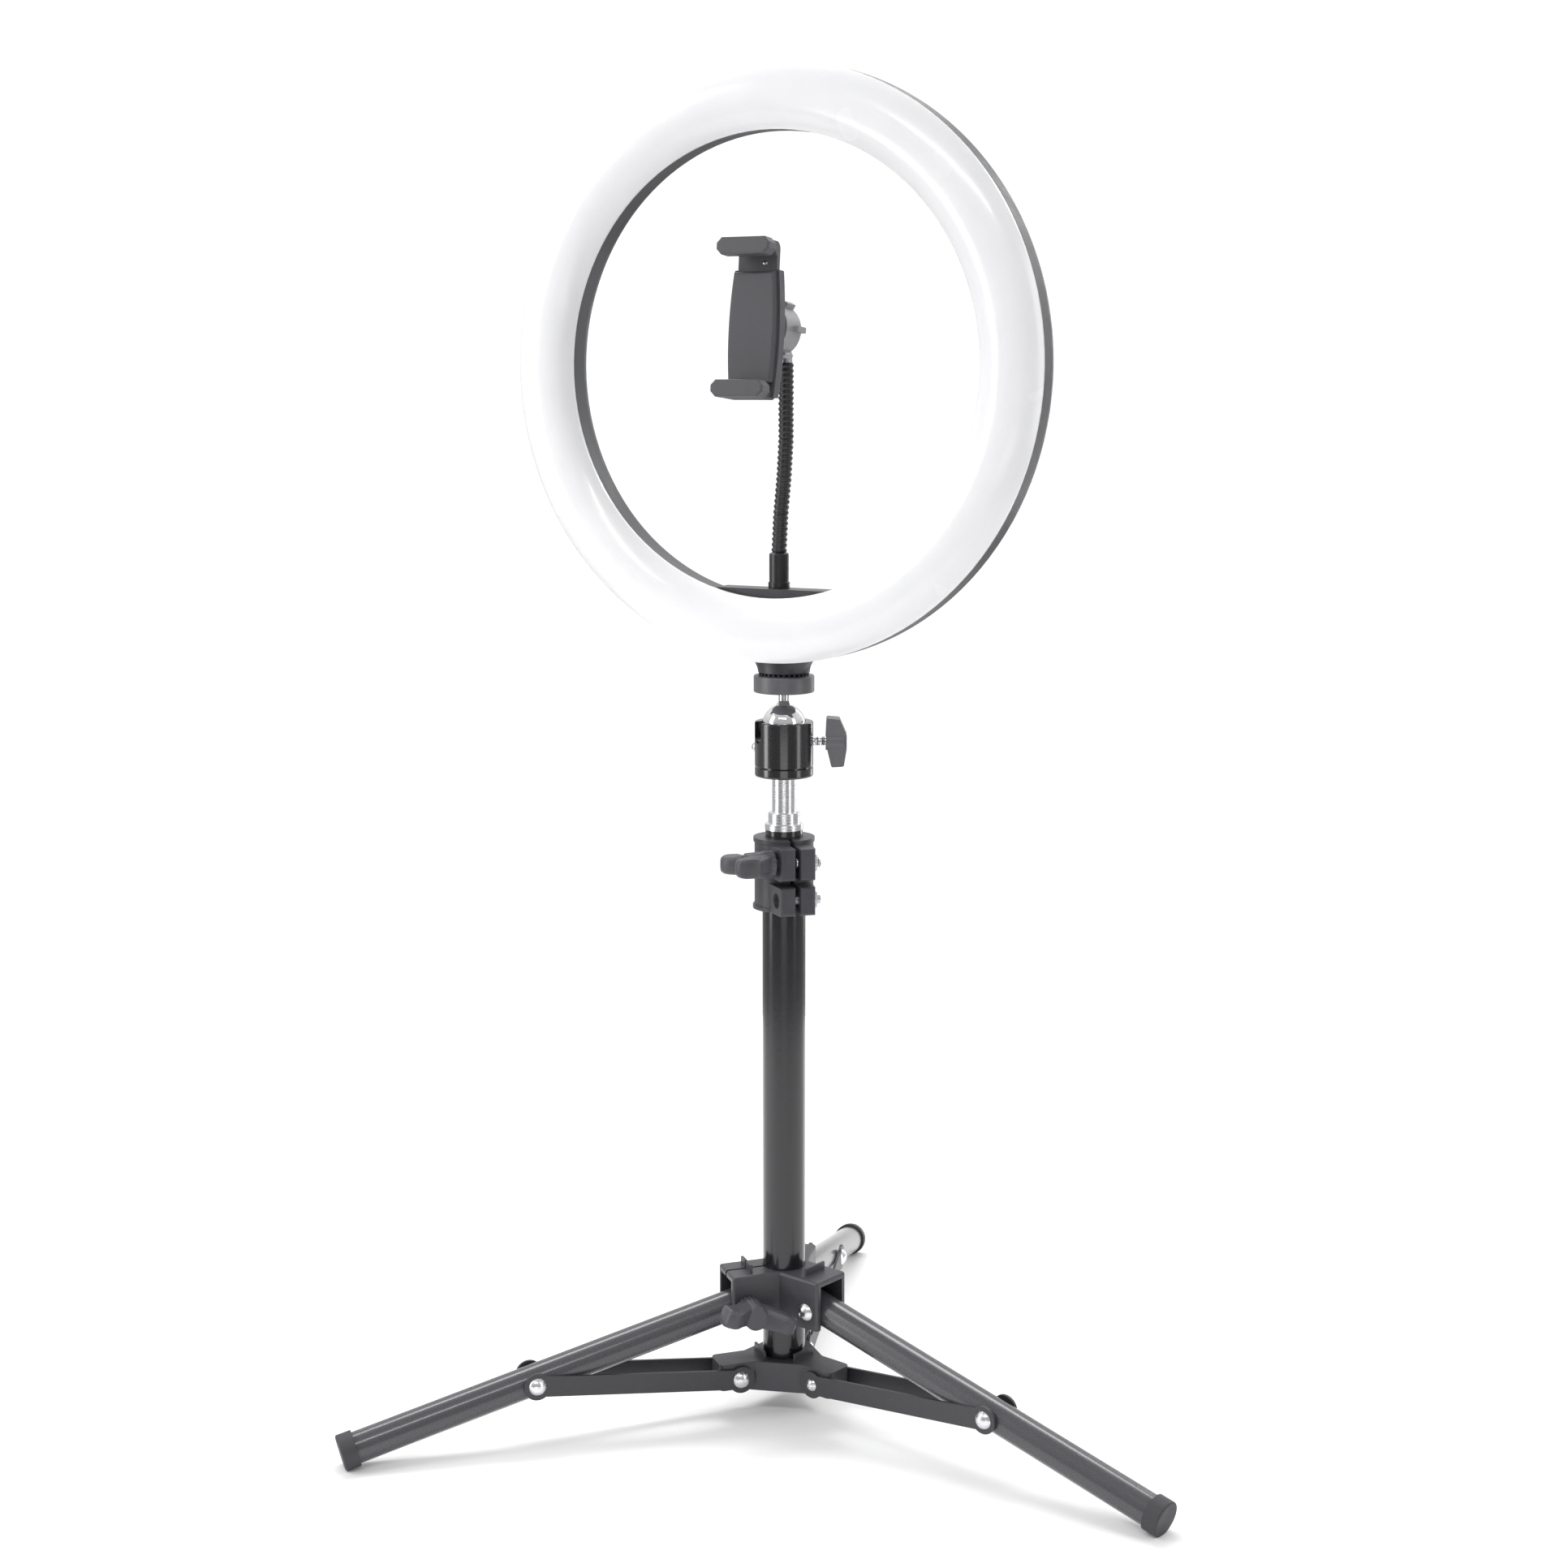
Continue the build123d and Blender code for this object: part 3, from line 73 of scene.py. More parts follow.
camera_data = bpy.data.cameras.new("studio_camera")
camera_data.lens, camera_data.sensor_width = 56.0, 36.0
camera = bpy.data.objects.new("studio_camera", camera_data)
camera.location = (CAMERA_AWAY * math.sin(CAMERA_TURN), -CAMERA_AWAY * math.cos(CAMERA_TURN),
                   CAMERA_HEIGHT)
camera.rotation_euler = (math.pi / 2 - CAMERA_DOWN, 0, CAMERA_TURN)
bpy.context.scene.collection.objects.link(camera)
bpy.context.scene.camera = camera
bpy.context.scene.view_settings.view_transform = "Standard"


# ---- Column: the outer tube -------------------------------------------------------------------
# Drawn steel tube, 22 mm outside, sprayed with black enamel and baked. The gloss coat flows
# out almost flat and leaves a faint orange peel and a few dust nibs.
def linear(colour):
    """An sRGB hex colour as linear RGBA."""
    parts = [int(colour[i:i + 2], 16) / 255 for i in (1, 3, 5)]
    return [p / 12.92 if p <= 0.04045 else ((p + 0.055) / 1.055) ** 2.4 for p in parts] + [1.0]


def add(tree, kind, settings=None, inputs=None):
    """One node with its settings, each input being a value or another node's output socket."""
    node = tree.nodes.new(kind)
    for name, value in (settings or {}).items():
        setattr(node, name, value)
    for name, value in (inputs or {}).items():
        if isinstance(value, bpy.types.NodeSocket):
            tree.links.new(value, node.inputs[name])
        else:
            node.inputs[name].default_value = value
    return node


def finish(name, shader):
    """A material with one Principled shader, and the piece's own coordinates in metres."""
    material = bpy.data.materials.new(name)
    material.use_nodes = True
    tree = material.node_tree
    tree.nodes.clear()
    principled = add(tree, "ShaderNodeBsdfPrincipled", inputs=shader)
    add(tree, "ShaderNodeOutputMaterial", inputs={"Surface": principled.outputs["BSDF"]})
    here = add(tree, "ShaderNodeTexCoord").outputs["Object"]
    return material, tree, principled, here


def reckoned(tree, operation, first, second):
    """Two sizes added, subtracted, multiplied or divided."""
    return add(tree, "ShaderNodeMath", {"operation": operation},
               {0: first, 1: second}).outputs[0]


def mottled(tree, principled, colours, here, size, steps=2.0):
    """The base colour wanders between two shades over patches of this size."""
    noise = add(tree, "ShaderNodeTexNoise", inputs={
        "Vector": here, "Scale": 1 / size, "Detail": steps, "Roughness": 0.6})
    mix = add(tree, "ShaderNodeMix", {"data_type": "RGBA"}, {0: noise.outputs["Fac"]})
    mix.inputs["A"].default_value, mix.inputs["B"].default_value = map(linear, colours)
    tree.links.new(mix.outputs["Result"], principled.inputs["Base Color"])
    return noise.outputs["Fac"]


def uneven(tree, principled, pattern, low, high):
    """The roughness follows a pattern between two values."""
    spread = add(tree, "ShaderNodeMapRange", inputs={
        "Value": pattern, "From Min": 0.3, "From Max": 0.7, "To Min": low, "To Max": high})
    tree.links.new(spread.outputs["Result"], principled.inputs["Roughness"])


def dimpled(tree, principled, pattern, depth, edge=0.0):
    """The pattern stands proud by this depth, and edges are eased by a radius, in metres."""
    bump = add(tree, "ShaderNodeBump", inputs={"Height": pattern, "Distance": depth})
    if edge:
        eased = add(tree, "ShaderNodeBevel", {"samples": 4}, {"Radius": edge})
        tree.links.new(eased.outputs["Normal"], bump.inputs["Normal"])
    tree.links.new(bump.outputs["Normal"], principled.inputs["Normal"])


def baked_enamel(name, colours, low, high):
    """Gloss stove enamel: orange peel about 3 mm across, and specks of 0.4 mm."""
    material, tree, principled, here = finish(name, {
        "IOR": 1.5, "Coat Weight": 0.35, "Coat Roughness": 0.12})
    specks = mottled(tree, principled, colours, here, 0.4 * MM)
    peel = add(tree, "ShaderNodeTexNoise", inputs={
        "Vector": here, "Scale": 1 / (3 * MM), "Detail": 1.0})
    uneven(tree, principled, specks, low, high)
    dimpled(tree, principled, peel.outputs["Fac"], 0.02 * MM)
    return material


def coat(material, *nodes):
    """Gives carried-over pieces their finish."""
    for node in nodes:
        for held in frame["nodes"][node].material_slots:
            held.material = material


tube_enamel = baked_enamel("black_baked_enamel_on_steel", ("#141416", "#26262a"), 0.14, 0.24)
coat(tube_enamel, "outer_tube")


# ---- Column: the plug under the tube ----------------------------------------------------------
# A low-density polyethylene stopper pushed into the tube's lower end. Soft plastic from a
# polished tool: waxy, with a slight haze.
MOULD_EDGE = 0.6 * MM                              # radius that moulded edges are eased by


def moulded(name, colours, low, high, grain, depth):
    """Moulded plastic whose spark-eroded tool leaves an even grain of this size and depth."""
    material, tree, principled, here = finish(name, {"IOR": 1.5})
    cloud = mottled(tree, principled, colours, here, 9 * MM, 3.0)
    texture = add(tree, "ShaderNodeTexNoise", inputs={
        "Vector": here, "Scale": 1 / grain, "Detail": 3.0, "Roughness": 0.7})
    uneven(tree, principled, cloud, low, high)
    dimpled(tree, principled, texture.outputs["Fac"], depth, MOULD_EDGE)
    return material


coat(moulded("black_polyethylene", ("#1c1c1e", "#242426"), 0.45, 0.55, 0.5 * MM, 0.02 * MM),
     "column_plug")


# ---- Spider -----------------------------------------------------------------------------------
# The fixed hub that the struts pivot on, moulded in glass-filled nylon. Its grain is about
# 0.4 mm, drawn at 0.6 mm so that it shows, and its flat faces are satin.
nylon = moulded("black_glass_filled_nylon", ("#37373b", "#434348"), 0.34, 0.46, 0.6 * MM,
                0.035 * MM)
coat(nylon, "spider")


# ---- Rivets -----------------------------------------------------------------------------------
# Bright nickel-plated steel rivets, set cold. The domes are polished by the snap that closes
# them, with fine scuffs from assembly.
def plated(name, colours, low, high, scuff):
    """Polished plating with scuffs of this size: the metal keeps its default IOR."""
    material, tree, principled, here = finish(name, {"Metallic": 1.0})
    scuffs = mottled(tree, principled, colours, here, scuff, 4.0)
    uneven(tree, principled, scuffs, low, high)
    dimpled(tree, principled, scuffs, 0.01 * MM)
    return material


nickel = plated("nickel_plated_steel", ("#c9c9cc", "#f2f2f4"), 0.16, 0.34, 0.9 * MM)
coat(nickel, "spider_rivets", "crown_rivets")


# ---- Leg crown --------------------------------------------------------------------------------
# The sliding hub over the legs, moulded in the same nylon as the spider, with a clamping slit
# through its left arm. The bolt and nut that close the slit are zinc-plated steel.
zinc = plated("zinc_plated_steel", ("#a9abb0", "#d7d9dc"), 0.22, 0.4, 0.6 * MM)
coat(nylon, "leg_crown")
coat(zinc, "crown_nut", "crown_bolt")


# ---- Crown knob -------------------------------------------------------------------------------
# A butterfly knob moulded in ABS over the bolt's head. Its wings are set off from each other
# so that a thumb and a finger each find a hollow, and the hub is fluted at its foot.
KNOB_HALF_SPAN, KNOB_LENGTH, KNOB_VALLEY = 19.5 * MM, 23.5 * MM, 14.5 * MM
KNOB_HUB_R, KNOB_HUB_TOP, KNOB_FLUTES, KNOB_FLUTE = 7.0 * MM, 15.5 * MM, 20, 0.22 * MM
KNOB_OFFSET, KNOB_EDGE = 1.9 * MM, 4.2            # sideways set of the wings; corner power
KNOB_ROLL = {"crown": math.radians(-21), "clamp": 0.0}

knob_abs = moulded("dark_grey_abs", ("#3f3f43", "#4a4a4f"), 0.36, 0.48, 0.5 * MM, 0.02 * MM)


def ease(t):
    """A smooth step from 0 to 1."""
    t = min(max(t, 0.0), 1.0)
    return t * t * (3 - 2 * t)


def lofted(name, rings):
    """A closed skin over rings of points, its two ends capped."""
    count = len(rings[0])
    faces = [tuple(reversed(range(count))),
             tuple(range((len(rings) - 1) * count, len(rings) * count))]
    for i in range(len(rings) - 1):
        for j in range(count):
            k = (j + 1) % count
            faces.append((i * count + j, i * count + k, (i + 1) * count + k,
                          (i + 1) * count + j))
    mesh = bpy.data.meshes.new(name)
    mesh.from_pydata([point for ring in rings for point in ring], [], faces)
    skin = bmesh.new()
    skin.from_mesh(mesh)
    bmesh.ops.recalc_face_normals(skin, faces=skin.faces)
    skin.to_mesh(mesh)
    skin.free()
    made = bpy.data.objects.new(name, mesh)
    bpy.context.scene.collection.objects.link(made)
    return made


def smooth(mesh, sharp_above=38):
    """Shades a mesh smooth, with creases where faces meet at more than this many degrees."""
    mesh.polygons.foreach_set("use_smooth", [True] * len(mesh.polygons))
    mesh.set_sharp_from_angle(angle=math.radians(sharp_above))


def settled(made):
    """Applies a piece's modifiers and leaves a plain mesh."""
    depsgraph = bpy.context.evaluated_depsgraph_get()
    mesh = bpy.data.meshes.new_from_object(made.evaluated_get(depsgraph))
    made.modifiers.clear()
    made.data = mesh
    return made


def fused(made, other):
    """Joins two closed skins into one and discards the second."""
    union = made.modifiers.new("fuse", "BOOLEAN")
    union.operation, union.solver, union.object = "UNION", "EXACT", other
    settled(made)
    bpy.data.objects.remove(other)
    return made


def rounded_box(x, middle, half, corner=KNOB_EDGE, count=28):
    """A ring of points in the plane x, round a box with softened corners."""
    ring = []
    for i in range(count):
        angle = 2 * math.pi * i / count
        across = math.copysign(abs(math.cos(angle)) ** (2 / corner), math.cos(angle))
        along = math.copysign(abs(math.sin(angle)) ** (2 / corner), math.sin(angle))
        ring.append((x, middle[0] + half[0] * across, middle[1] + half[1] * along))
    return ring


def wing_station(share):
    """The wings' section at a share of the half span, -1 to 1."""
    out = abs(share)
    top = KNOB_VALLEY + (KNOB_LENGTH - KNOB_VALLEY) * ease((out - 0.12) / 0.6)
    top -= 3.0 * MM * max(0.0, (out - 0.8) / 0.2) ** 2
    low = 2.0 * MM + 9.5 * MM * ease((out - 0.2) / 0.8)
    thick = 11.5 * MM - 2.0 * MM * ease(out / 0.7)
    tip = 1 - 0.3 * max(0.0, (out - 0.94) / 0.06) ** 2
    middle = (math.copysign(KNOB_OFFSET * ease(out / 0.7), share), (top + low) / 2)
    return rounded_box(share * KNOB_HALF_SPAN, middle, (thick / 2 * tip, (top - low) / 2 * tip))


def hub_ring(height, radius, flute):
    """A ring of the knob's hub, fluted by this depth."""
    count = KNOB_FLUTES * 6
    turns = [2 * math.pi * i / count for i in range(count)]
    radii = [radius + flute * math.cos(KNOB_FLUTES * turn) for turn in turns]
    return [(r * math.cos(turn), r * math.sin(turn), height) for r, turn in zip(radii, turns)]


def measured_along(node, start, axis):
    """The lowest and highest reach of a carried-over piece along an axis from a point."""
    reach = [(v.co - start).dot(axis) for v in frame["nodes"][node].data.vertices]
    return min(reach), max(reach)


def on_joint(joint, roll=0.0, lift=0.0):
    """A place whose Z is a joint's axis and whose Y leans to the vertical."""
    axis, start = Vector(joints[joint]["axis"]).normalized(), Vector(joints[joint]["pos_m"])
    side = UP.cross(axis).normalized()
    turned = Matrix((side, axis.cross(side), axis)).transposed().to_4x4()
    return Matrix.Translation(start + axis * lift) @ turned @ Matrix.Rotation(roll, 4, "Z")


def butterfly_knob(name, node, joint, roll, body):
    """A wing knob in place of a carried-over one, on its joint."""
    shares = [i / 20 for i in range(-19, 20)]
    shares = [-1.0, -0.985, -0.97] + shares + [0.97, 0.985, 1.0]
    knob = lofted(name, [wing_station(share) for share in shares])
    hub = lofted("hub", [hub_ring(0.0, KNOB_HUB_R - 0.5 * MM, 0.0),
                         hub_ring(0.5 * MM, KNOB_HUB_R, KNOB_FLUTE),
                         hub_ring(5.5 * MM, KNOB_HUB_R, KNOB_FLUTE),
                         hub_ring(6.5 * MM, KNOB_HUB_R - 0.2 * MM, 0.0),
                         hub_ring(KNOB_HUB_TOP - 1.2 * MM, KNOB_HUB_R - 0.6 * MM, 0.0),
                         hub_ring(KNOB_HUB_TOP, KNOB_HUB_R - 1.8 * MM, 0.0)])
    fused(knob, hub)
    start, axis = Vector(joints[joint]["pos_m"]), Vector(joints[joint]["axis"]).normalized()
    seat = measured_along(node, start, axis)[0]
    knob.data.transform(on_joint(joint, roll, seat))
    smooth(knob.data)
    knob.data.materials.clear()
    knob.data.materials.append(knob_abs)
    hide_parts(node)
    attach(knob, body)


butterfly_knob("crown_butterfly", "crown_knob", "crown_knob_turn", KNOB_ROLL["crown"],
               "crown_knob_body")


# ---- Legs -------------------------------------------------------------------------------------
# Three 16 mm drawn steel tubes in black enamel, more satin than the column's, each with a
# synthetic rubber cap pressed over its end. Their enamel is given a grey colour as painted
# sheen, standing for the light the legs reflect. The caps are dull and pick up floor dust.
leg_enamel_painted_sheen = baked_enamel("black_satin_enamel_with_painted_sheen", ("#38383c", "#4a4a4e"), 0.2, 0.32)
cap_rubber = moulded("black_moulded_rubber", ("#2e2e31", "#3c3c40"), 0.5, 0.66, 0.7 * MM,
                     0.04 * MM)
for arm in ("left", "right", "rear"):
    coat(leg_enamel_painted_sheen, f"leg_tube_{arm}")
    coat(cap_rubber, f"foot_cap_{arm}")


# ---- Struts -----------------------------------------------------------------------------------
# Pairs of flat steel straps, blanked from strip and powder coated: a fine satin texture about
# half a millimetre across. A domed rivet closes each pair on its leg.
strap_coat, strap_tree, strap_shader, strap_here = finish("black_powder_coated_steel", {
    "IOR": 1.5})
strap_noise = mottled(strap_tree, strap_shader, ("#2b2b2e", "#3a3a3e"), strap_here, 0.7 * MM)
uneven(strap_tree, strap_shader, strap_noise, 0.34, 0.44)
dimpled(strap_tree, strap_shader, strap_noise, 0.05 * MM)
for arm in ("left", "right", "rear"):
    coat(strap_coat, f"strut_straps_{arm}")
    coat(nickel, f"strut_rivets_{arm}")


# ---- Height clamp -----------------------------------------------------------------------------
# A split collar of glass-filled nylon on the outer tube. Its lower pair of lugs is fixed with
# a socket screw, its upper pair closes on the inner tube by the wing knob's bolt.
coat(nylon, "height_clamp")
coat(zinc, "clamp_nuts", "collar_screw")
butterfly_knob("clamp_butterfly", "clamp_knob", "clamp_knob_turn", KNOB_ROLL["clamp"],
               "clamp_knob_body")


# ---- Clamp bolt -------------------------------------------------------------------------------
# An M5 bolt moulded into the wing knob. Rolled threads: a helix of 0.8 mm pitch round a
# plain core, zinc plated.
M5_R, M5_PITCH = 2.5 * MM, 0.8 * MM
THREAD_DEPTH, THREAD_SIDES, THREAD_STEPS = 0.42 * MM, 4, 28
THREAD_LENGTH, CORE_SIDES = 10 * MM, 32            # length where no piece gives one


def geometry_tree(name, sockets):
    """An empty geometry tree with named inputs and one output, and its input node's sockets."""
    tree = bpy.data.node_groups.new(name, "GeometryNodeTree")
    for label, (kind, value) in sockets.items():
        socket = tree.interface.new_socket(label, in_out="INPUT", socket_type=kind)
        if value is not None:
            socket.default_value = value
    tree.interface.new_socket("Geometry", in_out="OUTPUT", socket_type="NodeSocketGeometry")
    return tree, add(tree, "NodeGroupInput").outputs


def close_tree(tree, parts, material):
    """Joins the parts, makes the copies real, shades them smooth and gives them a material."""
    join = add(tree, "GeometryNodeJoinGeometry")
    for part in parts:
        tree.links.new(part, join.inputs["Geometry"])
    real = add(tree, "GeometryNodeRealizeInstances", inputs={"Geometry": join.outputs[0]})
    shaded = add(tree, "GeometryNodeSetShadeSmooth", inputs={"Geometry": real.outputs[0]})
    dressed = add(tree, "GeometryNodeSetMaterial", inputs={
        "Geometry": shaded.outputs[0], "Material": material})
    add(tree, "NodeGroupOutput", inputs={"Geometry": dressed.outputs[0]})


def grown(name, tree, sizes, place):
    """A plain mesh of what a geometry tree makes from these sizes, laid in its place."""
    made = bpy.data.objects.new(name, bpy.data.meshes.new(name))
    grow = made.modifiers.new("grow", "NODES")
    grow.node_group = tree
    for item in tree.interface.items_tree:
        if item.in_out == "INPUT" and item.name in sizes:
            grow[item.identifier] = sizes[item.name]
    bpy.context.scene.collection.objects.link(made)
    settled(made)
    made.data.transform(place)
    smooth(made.data)
    return made


def thread_tree():
    """A threaded rod along +Z."""
    tree, given = geometry_tree("rolled_thread", {
        "Radius": ("NodeSocketFloat", M5_R), "Pitch": ("NodeSocketFloat", M5_PITCH),
        "Depth": ("NodeSocketFloat", THREAD_DEPTH), "Length": ("NodeSocketFloat", THREAD_LENGTH),
        "Material": ("NodeSocketMaterial", None)})
    core = reckoned(tree, "SUBTRACT", given["Radius"], given["Depth"])
    turns = reckoned(tree, "DIVIDE", given["Length"], given["Pitch"])
    helix = add(tree, "GeometryNodeCurveSpiral", inputs={
        "Resolution": THREAD_STEPS, "Rotations": turns, "Start Radius": core,
        "End Radius": core, "Height": given["Length"]})
    ridge = add(tree, "GeometryNodeCurvePrimitiveCircle", inputs={
        "Resolution": THREAD_SIDES, "Radius": given["Depth"]})
    worm = add(tree, "GeometryNodeCurveToMesh", inputs={
        "Curve": helix.outputs["Curve"], "Profile Curve": ridge.outputs["Curve"],
        "Fill Caps": True})
    line = add(tree, "GeometryNodeCurvePrimitiveLine")
    height = add(tree, "ShaderNodeCombineXYZ", inputs={"Z": given["Length"]})
    tree.links.new(height.outputs[0], line.inputs["End"])
    bar = add(tree, "GeometryNodeCurvePrimitiveCircle", inputs={
        "Resolution": CORE_SIDES, "Radius": core})
    shank = add(tree, "GeometryNodeCurveToMesh", inputs={
        "Curve": line.outputs["Curve"], "Profile Curve": bar.outputs["Curve"],
        "Fill Caps": True})
    close_tree(tree, [worm.outputs["Mesh"], shank.outputs["Mesh"]], given["Material"])
    return tree


thread = thread_tree()


def threaded(name, node, joint, material, body):
    """A threaded rod in place of a carried-over plain one, along its joint's axis."""
    start, axis = Vector(joints[joint]["pos_m"]), Vector(joints[joint]["axis"]).normalized()
    low, high = measured_along(node, start, axis)
    rod = grown(name, thread, {"Length": high - low, "Material": material},
                on_joint(joint, 0.0, low))
    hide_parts(node)
    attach(rod, body)


threaded("clamp_bolt_thread", "clamp_bolt", "clamp_knob_turn", zinc,
         "clamp_knob_body")


# ---- Mast: inner tube, bush and spigot --------------------------------------------------------
# The 19 mm inner tube is enamelled like the outer one. Its acetal bush stays hidden inside.
# The spigot is turned from aluminium bar, and the tool's feed leaves fine rings round it.
FEED = 0.45 * MM                                   # spacing of the turned rings, drawn coarse

coat(tube_enamel, "inner_tube")
coat(moulded("white_acetal", ("#d9d9d4", "#e6e6e2"), 0.3, 0.4, 0.5 * MM, 0.01 * MM),
     "guide_bush")
turned, turned_tree, turned_shader, turned_here = finish("turned_aluminium", {
    "Metallic": 1.0, "Anisotropic": 0.4})
turned_height = add(turned_tree, "ShaderNodeSeparateXYZ", inputs={0: turned_here}).outputs["Z"]
turned_rings = add(turned_tree, "ShaderNodeTexNoise", {"noise_dimensions": "1D"}, {
    "W": turned_height, "Scale": 1 / FEED, "Detail": 3.0, "Roughness": 0.7}).outputs["Fac"]
mottled(turned_tree, turned_shader, ("#d2d3d6", "#f4f4f6"), turned_here, 4 * MM)
uneven(turned_tree, turned_shader, turned_rings, 0.16, 0.34)
dimpled(turned_tree, turned_shader, turned_rings, 0.02 * MM)
coat(turned, "spigot")


# ---- Ball head: base and cup ------------------------------------------------------------------
# Turned aluminium, anodised gloss black. The dye keeps the turned surface's depth, so edges
# catch the light as thin lines and the sides carry long soft reflections.
anodised, anodised_tree, anodised_shader, anodised_here = finish("black_anodised_aluminium", {
    "IOR": 1.6, "Coat Weight": 0.5, "Coat Roughness": 0.06})
anodised_specks = mottled(anodised_tree, anodised_shader, ("#0d0d0f", "#1c1c1f"), anodised_here,
                          0.5 * MM)
uneven(anodised_tree, anodised_shader, anodised_specks, 0.18, 0.28)
coat(anodised, "head_base", "ball_cup")
coat(zinc, "cup_screw")


# ---- Ball head: lock screw and knob -----------------------------------------------------------
# A bright threaded screw in a two-winged knob of mid grey ABS, which pinches the ball.
threaded("lock_screw_thread", "lock_screw", "lock_knob_turn", nickel, "lock")
coat(moulded("grey_knob_abs", ("#5a5a5e", "#68686c"), 0.36, 0.48, 0.5 * MM, 0.02 * MM),
     "lock_knob")


# ---- Ball head: ball and platform -------------------------------------------------------------
# The ball and its stem are chromed steel. The platform is die-cast zinc with a satin grey
# paint, and carries the quarter-inch stud.
chrome = plated("bright_chrome_plate", ("#dcdcdf", "#f0f0f2"), 0.05, 0.12, 2.5 * MM)
cast_grey = moulded("satin_grey_painted_zinc", ("#56565a", "#606064"), 0.3, 0.42, 0.35 * MM,
                    0.015 * MM)
coat(chrome, "ball_stem")
coat(cast_grey, "platform")
coat(zinc, "mount_stud")


# ---- Ball head: ribbed pad --------------------------------------------------------------------
# A ring of soft black rubber between the platform and the lamp. Radial ribs stand on a thin
# web and grip the lamp's foot, so light shows between them.
PAD_RIBS, PAD_WEB, PAD_RIB_WIDTH = 29, 0.3 * MM, 1.3 * MM
PAD_OUTER, PAD_INNER, PAD_THICK, PAD_SIDES = 12.6 * MM, 9.5 * MM, 1.4 * MM, 96


def pad_tree():
    """A thin ring with radial ribs on it, standing on z = 0."""
    tree, given = geometry_tree("ribbed_pad", {
        "Outer": ("NodeSocketFloat", PAD_OUTER), "Inner": ("NodeSocketFloat", PAD_INNER),
        "Web": ("NodeSocketFloat", PAD_WEB), "Height": ("NodeSocketFloat", PAD_THICK),
        "Rib Width": ("NodeSocketFloat", PAD_RIB_WIDTH), "Ribs": ("NodeSocketInt", PAD_RIBS),
        "Material": ("NodeSocketMaterial", None)})
    width = reckoned(tree, "SUBTRACT", given["Outer"], given["Inner"])
    reach = reckoned(tree, "ADD", given["Outer"], given["Inner"])
    middle = reckoned(tree, "MULTIPLY", reach, 0.5)
    round_path = add(tree, "GeometryNodeCurvePrimitiveCircle", inputs={
        "Resolution": PAD_SIDES, "Radius": middle})
    flat = add(tree, "GeometryNodeCurvePrimitiveQuadrilateral", inputs={
        "Width": width, "Height": given["Web"]})
    web = add(tree, "GeometryNodeCurveToMesh", inputs={
        "Curve": round_path.outputs["Curve"], "Profile Curve": flat.outputs["Curve"]})
    half_web = reckoned(tree, "MULTIPLY", given["Web"], 0.5)
    web_up = add(tree, "ShaderNodeCombineXYZ", inputs={"Z": half_web})
    web_placed = add(tree, "GeometryNodeTransform", inputs={
        "Geometry": web.outputs["Mesh"], "Translation": web_up.outputs[0]})
    spots = add(tree, "GeometryNodeCurvePrimitiveCircle", inputs={
        "Resolution": given["Ribs"], "Radius": middle})
    points = add(tree, "GeometryNodeCurveToPoints", {"mode": "EVALUATED"}, {
        "Curve": spots.outputs["Curve"]})
    place = add(tree, "GeometryNodeInputPosition").outputs[0]
    turn = add(tree, "FunctionNodeAlignRotationToVector", {"axis": "X"}, {"Vector": place})
    size = add(tree, "ShaderNodeCombineXYZ", inputs={
        "X": width, "Y": given["Rib Width"], "Z": given["Height"]})
    rib = add(tree, "GeometryNodeMeshCube", inputs={"Size": size.outputs[0]})
    rib_up = add(tree, "ShaderNodeCombineXYZ", inputs={
        "Z": reckoned(tree, "MULTIPLY", given["Height"], 0.5)})
    rib_placed = add(tree, "GeometryNodeTransform", inputs={
        "Geometry": rib.outputs["Mesh"], "Translation": rib_up.outputs[0]})
    ribs = add(tree, "GeometryNodeInstanceOnPoints", inputs={
        "Points": points.outputs["Points"], "Instance": rib_placed.outputs["Geometry"],
        "Rotation": turn.outputs["Rotation"]})
    close_tree(tree, [web_placed.outputs["Geometry"], ribs.outputs["Instances"]],
               given["Material"])
    return tree


pad_rubber = moulded("soft_black_rubber", ("#1b1b1d", "#29292c"), 0.55, 0.7, 0.4 * MM,
                     0.02 * MM)
pad_low, pad_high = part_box("platform_pad")
pad = grown("ribbed_rubber_pad", pad_tree(), {
    "Outer": (pad_high.x - pad_low.x) / 2, "Height": pad_high.z - pad_low.z,
    "Material": pad_rubber}, Matrix.Translation((0, 0, pad_low.z)))
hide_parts("platform_pad")
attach(pad, "ball")


# ---- Lamp: rear housing -----------------------------------------------------------------------
# The ring's back, walls, neck and flat seat, moulded in one piece of black ABS. The outside
# is spark eroded to a fine satin grain.
housing_abs = moulded("black_moulded_abs", ("#333337", "#3e3e42"), 0.34, 0.44, 0.55 * MM,
                      0.025 * MM)
coat(housing_abs, "rear_housing")


# ---- Lamp: fittings on and in the housing -----------------------------------------------------
# A knurled brass insert moulded into the neck, a rubber grommet for the lead, and zinc-plated
# self-tapping screws that hold the board through its spacers.
coat(plated("turned_brass", ("#b9924a", "#d8b56c"), 0.2, 0.36, 0.7 * MM), "neck_insert")
coat(cap_rubber, "cable_gland")
coat(zinc, "housing_screws")
coat(moulded("natural_nylon", ("#e2e0d8", "#efede6"), 0.4, 0.5, 0.5 * MM, 0.01 * MM),
     "board_posts")


